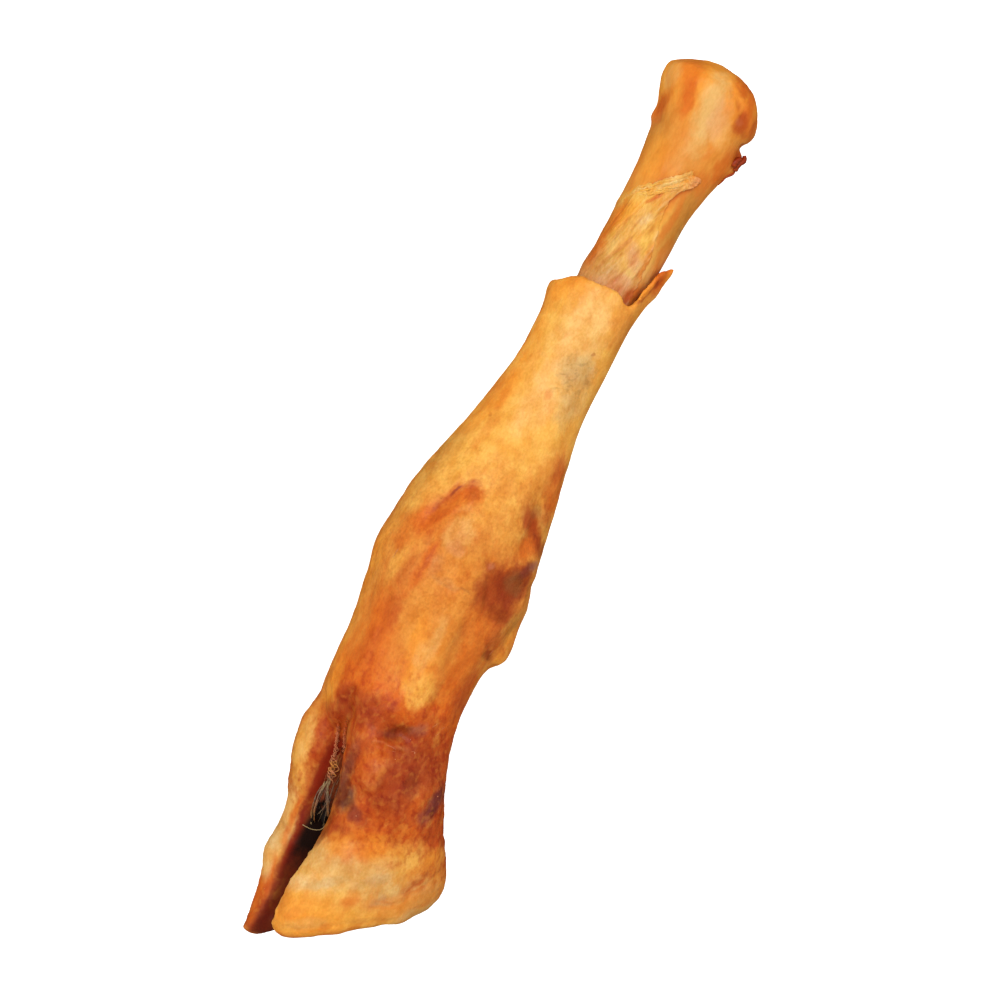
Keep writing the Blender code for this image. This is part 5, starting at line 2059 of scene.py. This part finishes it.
# The wool core's colours along the leg: black at its end towards the toes as painted shadow in the cleft, then
# the matted wool's own brown and red
CORE_AND_SHADOW_BANDS = (
    (-80.0, Tint.NIGHT),
    (-76.0, Tint.NIGHT),
    (-72.0, Tint.UMBER),
    (-65.0, Tint.UMBER),
    (-60.0, Tint.BRICK),
)
HAIR_BANDS = ((-80.0, Tint.FLEECE), (-74.0, Tint.ASH), (-67.0, Tint.WOOL), (-58.0, Tint.CURL))
CURL_BANDS = (
    (-71.0, Tint.UMBER),
    (-69.0, Tint.PINK),
    (-67.0, Tint.CURL),
    (-65.0, Tint.PINK),
    (-57.0, Tint.RUST),
)
LOCK_BANDS = ((-81.0, Tint.FLEECE), (-78.0, Tint.WOOL), (-74.0, Tint.ASH), (-70.0, Tint.FLEECE))


@dataclass(frozen=True)
class CleftWool:
    """The wool between the claws: a matted core, fine hairs, curls, locks, and a thread across the cleft."""

    skin: bpy.types.Object
    seed: int = 11
    hairs: int = 50
    root_x: Place = (-70.5, -64.0)
    root_y: Place = (3.4, 6.0)
    length: Place = (4.0, 9.5)
    half_gap: float = 1.15
    radius: Place = (0.04, 0.08)
    steps: int = 13
    thread_radius: float = 0.10
    thread_steps: int = 24

    @staticmethod
    def _core_heights(points: np.ndarray, _normals: np.ndarray) -> np.ndarray:
        """How far the core is sunk and folded, in mm."""
        sunk = 0.12 + 0.85 * smooth_step(-67.0, -61.0, points[:, 0])
        return 0.12 * rough(points, (2.4, 0.7, 0.7), 2, 51.0) - sunk

    def _hair(self, rng: np.random.Generator) -> tuple[np.ndarray, np.ndarray]:
        """One fine hair.

        Args:
            rng: Draws its place, lean and bends.

        Returns:
            Its path in the leg's frame, and its radius at each point.
        """
        share = np.linspace(0.0, 1.0, self.steps)
        x = rng.uniform(*self.root_x)
        front = np.interp(x, self.root_x, (0.0, 1.4))
        start = np.array([x, rng.uniform(*self.root_y) + front * 0.6, rng.uniform(-0.9, 0.9)])
        lean = np.array([-1.0, rng.uniform(-0.22, 0.02), 0.0]) * rng.uniform(*self.length)
        sway = rng.uniform(-1.0, 1.0, (2, 2))
        path = start + np.outer(share, lean)
        for wave, amounts in enumerate(sway, start=1):
            bend = np.sin(share * math.pi * wave * rng.uniform(0.8, 1.5))
            path[:, 1] += bend * amounts[0] * 0.7 / wave
            path[:, 2] += bend * amounts[1] * 0.6 / wave
        path[:, 2] = np.clip(path[:, 2], -self.half_gap, self.half_gap)
        path[:, 1] = np.minimum(path[:, 1], along_table(path[:, 0], HAIR_FRONT))
        return path, rng.uniform(*self.radius) * (1.0 - 0.6 * share)

    def _thread(self, surface: Surface) -> tuple[np.ndarray, np.ndarray]:
        """The pale thread that hangs across the cleft from claw to claw.

        Args:
            surface: The surface of the skin and the wool's core.

        Returns:
            Its path in the leg's frame, and its radius at each point.
        """
        ends = [SPACE.to_shown(surface.shown_spot(*spot)[0])[2] for spot in (THREAD[0], THREAD[-1])]
        depths = np.linspace(*ends, len(THREAD)) + self.thread_radius
        shown = np.column_stack([np.array(THREAD), depths])
        at = np.linspace(0, len(THREAD) - 1, self.thread_steps)
        fine = np.column_stack([np.interp(at, np.arange(len(THREAD)), column) for column in shown.T])
        return SPACE.from_shown(rounded(fine, 8)), np.full(len(fine), self.thread_radius)

    def _wound(self, surface: Surface, strands: Sequence[tuple[Strand, int]]) -> Bodies:
        """Winds strands, with their turns spread evenly.

        Args:
            surface: What they lie on.
            strands: The strands, each with how many times it is wound.

        Returns:
            The bodies of all of them.
        """
        bodies = Bodies()
        for strand, times in strands:
            for k in range(times):
                bodies.add(*tube(*strand.course(surface, 2 * math.pi * k / times), 6))
        return bodies

    def build(self) -> list[bpy.types.Object]:
        """Makes and dresses the core, the hairs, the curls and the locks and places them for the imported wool.

        Returns:
            The four pieces.
        """
        core = fine_copy("cleft_wool", "wool_core", 0.18, 16)
        narrowed = SPACE.to_shown(SPACE.to_leg(points_of(core.data)))
        narrowed[:, 1] = np.minimum(narrowed[:, 1], along_table(narrowed[:, 0], CORE_LEFT))
        set_points(core.data, SPACE.to_part(SPACE.from_shown(narrowed)))
        raise_surface(core, self._core_heights)
        surface = Surface(self.skin, core)
        rng = np.random.default_rng(self.seed)
        hairs = Bodies()
        for _ in range(self.hairs):
            hairs.add(*tube(*self._hair(rng), 5))
        locks = self._wound(surface, LOCKS)
        locks.add(*tube(*self._thread(surface), 6))
        curls = self._wound(surface, CURLS)
        core.data.materials.clear()
        pieces = [core, hairs.piece("wool_hairs"), curls.piece("wool_curls"), locks.piece("wool_locks")]
        for piece, bands in zip(pieces, (CORE_AND_SHADOW_BANDS, HAIR_BANDS, CURL_BANDS, LOCK_BANDS)):
            piece.data.materials.append(HairFinish(f"{piece.name} wool", bands).material())
            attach(piece, "root")
        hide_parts("cleft_wool")
        return pieces


LOOSE_FIBRES = (
    # Pale fibres stuck to the pastern, and hairs and scratches on the fetlock
    Strand(0.03, ((-49.4, -9.4), (-48.0, -10.2))),
    Strand(0.03, ((-49.0, -11.4), (-48.2, -11.8))),
    Strand(0.03, ((-50.8, -10.8), (-49.8, -11.4))),
    Strand(0.04, ((-57.0, -2.4), (-56.6, -3.6), (-57.0, -4.8))),
    Strand(0.03, ((-57.6, -4.2), (-57.2, -5.2))),
    Strand(0.03, ((-55.8, -7.8), (-55.5, -8.5))),
    Strand(0.04, ((-21.3, 14.5), (-19.8, 14.5), (-18.7, 14.2))),
    Strand(0.05, ((-30.4, -13.2), (-29.0, -13.5)), 0.02),
)
# The places and sizes of the pale specks, which are painted glints: small pale bodies where the wet skin, the
# wool's columns and the far claw's tip catch the light
GLINT_SPECKS = (
    (-73.4, -3.7, 0.15),
    (-60.3, 7.5, 0.14),
    (-61.7, 6.9, 0.13),
    (-64.4, 6.6, 0.15),
    (-55.8, -8.5, 0.16),
    (-58.8, -5.5, 0.11),
    (-62.2, -17.2, 0.12),
    (-53.7, -6.5, 0.09),
    (-93.4, 8.2, 0.08),
    (-97.6, 6.6, 0.09),
)
FIBRE_AND_GLINT_BANDS = ((-100.0, Tint.PINK), (-20.0, Tint.PINK), (-15.0, Tint.CREAM))


@dataclass(frozen=True)
class LooseFibresAndGlints:
    """The pale hairs and fibres that stick to the dried skin, and pale specks on it that are painted glints."""

    skin: bpy.types.Object

    def build(self) -> bpy.types.Object:
        """Makes the bits and places them on the skin.

        Returns:
            All the bits as one piece.
        """
        surface = Surface(self.skin)
        bodies = Bodies()
        for strand in LOOSE_FIBRES:
            bodies.add(*tube(*strand.course(surface, 0.0), 5))
        # Painted glints: small pale bodies standing in for highlights
        for along, across, size in GLINT_SPECKS:
            spot, normal = surface.shown_spot(along, across)
            share = np.linspace(-0.95, 0.95, 6)
            path = spot + normal * 0.3 * size + np.outer(share * size, (0.6, 0.7, -0.4))
            bodies.add(*tube(path, size * np.sqrt(1.0 - share**2) * 0.8, 7))
        piece = bodies.piece("loose_fibres")
        # One material for the fibres and the painted glints
        piece.data.materials.append(HairFinish("pale fibres", FIBRE_AND_GLINT_BANDS).material())
        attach(piece, "root")
        return piece


WHITE = (1.0, 1.0, 1.0, 1.0)
PALE_GREY = (0.9, 0.9, 0.9, 1.0)


class Lamp(NamedTuple):
    """A soft square light: how far right, up and near it stands for the camera, its side, and its watts."""

    name: str
    side: float
    height: float
    nearness: float
    size: float
    power: float


@dataclass(frozen=True)
class Studio:
    """The pale floor, the soft lights and the camera at the photo's angle, with the leg in the middle.

    The picture's width, the camera's distance and its sensor are in mm, the floor and lamps in metres.
    """

    image_width: float = 215.0
    distance: float = 806.0
    sensor: float = 36.0
    leg_angle: float = math.radians(62.65)
    floor_size: float = 3.0
    floor_glow: float = 0.85
    surrounding_light: float = 0.60
    lamps: tuple[Lamp, ...] = (
        Lamp("key", -0.12, 0.28, 0.98, 0.5, 5.0),
        Lamp("fill", 0.75, 0.05, 0.60, 0.8, 1.9),
        Lamp("left fill", -0.75, -0.05, 0.60, 0.8, 1.2),
    )

    def _axes(self) -> tuple[Vector, Vector, Vector]:
        """The camera's right, up and back directions in the part's frame.

        Returns:
            The three directions, of length 1.
        """
        along, across, towards = SPACE.shown_axes @ SPACE.turn.T
        sine, cosine = math.sin(self.leg_angle), math.cos(self.leg_angle)
        return Vector(cosine * along - sine * across), Vector(sine * along + cosine * across), Vector(towards)

    def set_camera(self) -> None:
        """Sets the camera, looking at the leg from the shown side."""
        right, up, back = self._axes()
        data = bpy.data.cameras.new("camera")
        data.sensor_width = self.sensor
        data.lens = self.sensor * self.distance / self.image_width
        camera = bpy.data.objects.new("camera", data)
        turn = Matrix((right, up, back)).transposed().to_4x4()
        target = Vector(SPACE.origin) * MM
        camera.matrix_world = Matrix.Translation(target + back * self.distance * MM) @ turn
        bpy.context.scene.collection.objects.link(camera)
        bpy.context.scene.camera = camera

    def hang(self, lamp: Lamp) -> None:
        """Adds one lamp, which faces the leg.

        Args:
            lamp: The lamp.
        """
        right, up, back = self._axes()
        data = bpy.data.lights.new(lamp.name, "AREA")
        data.size = lamp.size
        data.energy = lamp.power
        light = bpy.data.objects.new(lamp.name, data)
        light.location = right * lamp.side + up * lamp.height + back * lamp.nearness
        light.rotation_mode = "QUATERNION"
        light.rotation_quaternion = light.location.to_track_quat("Z", "Y")
        bpy.context.scene.collection.objects.link(light)

    def lay_floor(self) -> None:
        """Lays the pale floor, which glows a little and doesn't light the leg from below."""
        half = self.floor_size / 2
        corners = [(-half, -half, 0), (half, -half, 0), (half, half, 0), (-half, half, 0)]
        mesh = bpy.data.meshes.new("floor")
        mesh.from_pydata(corners, [], [(0, 1, 2, 3)])
        floor = bpy.data.objects.new("floor", mesh)
        bpy.context.scene.collection.objects.link(floor)
        board = Board("pale floor")
        board.set(Base_Color=PALE_GREY, Roughness=0.9, Specular_IOR_Level=0.0)
        board.set(Emission_Color=WHITE, Emission_Strength=self.floor_glow)
        mesh.materials.append(board.material)
        floor.visible_glossy = False
        floor.visible_diffuse = False

    def build(self) -> None:
        """Sets up the floor, the camera, the lamps and the surrounding light."""
        self.lay_floor()
        self.set_camera()
        for lamp in self.lamps:
            self.hang(lamp)
        world = bpy.data.worlds.new("surroundings")
        world.use_nodes = True
        background = world.node_tree.nodes["Background"]
        background.inputs["Color"].default_value = WHITE
        background.inputs["Strength"].default_value = self.surrounding_light
        world.cycles_visibility.glossy = False
        scene = bpy.context.scene
        scene.world = world
        scene.view_settings.view_transform = "Standard"


def clear_defaults() -> None:
    """Removes the objects that a new file starts with and that are no part of the frame."""
    for name in ("Cube", "Light", "Camera"):
        if name in bpy.data.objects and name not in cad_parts:
            bpy.data.objects.remove(bpy.data.objects[name], do_unlink=True)


def main() -> None:
    """Builds and dresses every piece, and sets up the studio."""
    logging.basicConfig(level=logging.INFO, format="%(name)s: %(message)s")
    clear_defaults()
    skin = Skin().build()
    LOG.info("skin and claws: %d faces", len(skin.data.polygons))
    bone = Bone().build()
    LOG.info("bone: %d faces", len(bone.data.polygons))
    pieces = [*Membrane(bone).build(), Scraps(bone).build()]
    pieces += [*CleftWool(skin).build(), LooseFibresAndGlints(skin).build()]
    for piece in pieces:
        LOG.info("%s: %d faces", piece.name, len(piece.data.polygons))
    Studio().build()
    LOG.info("studio ready")


if __name__ == "__main__":
    main()
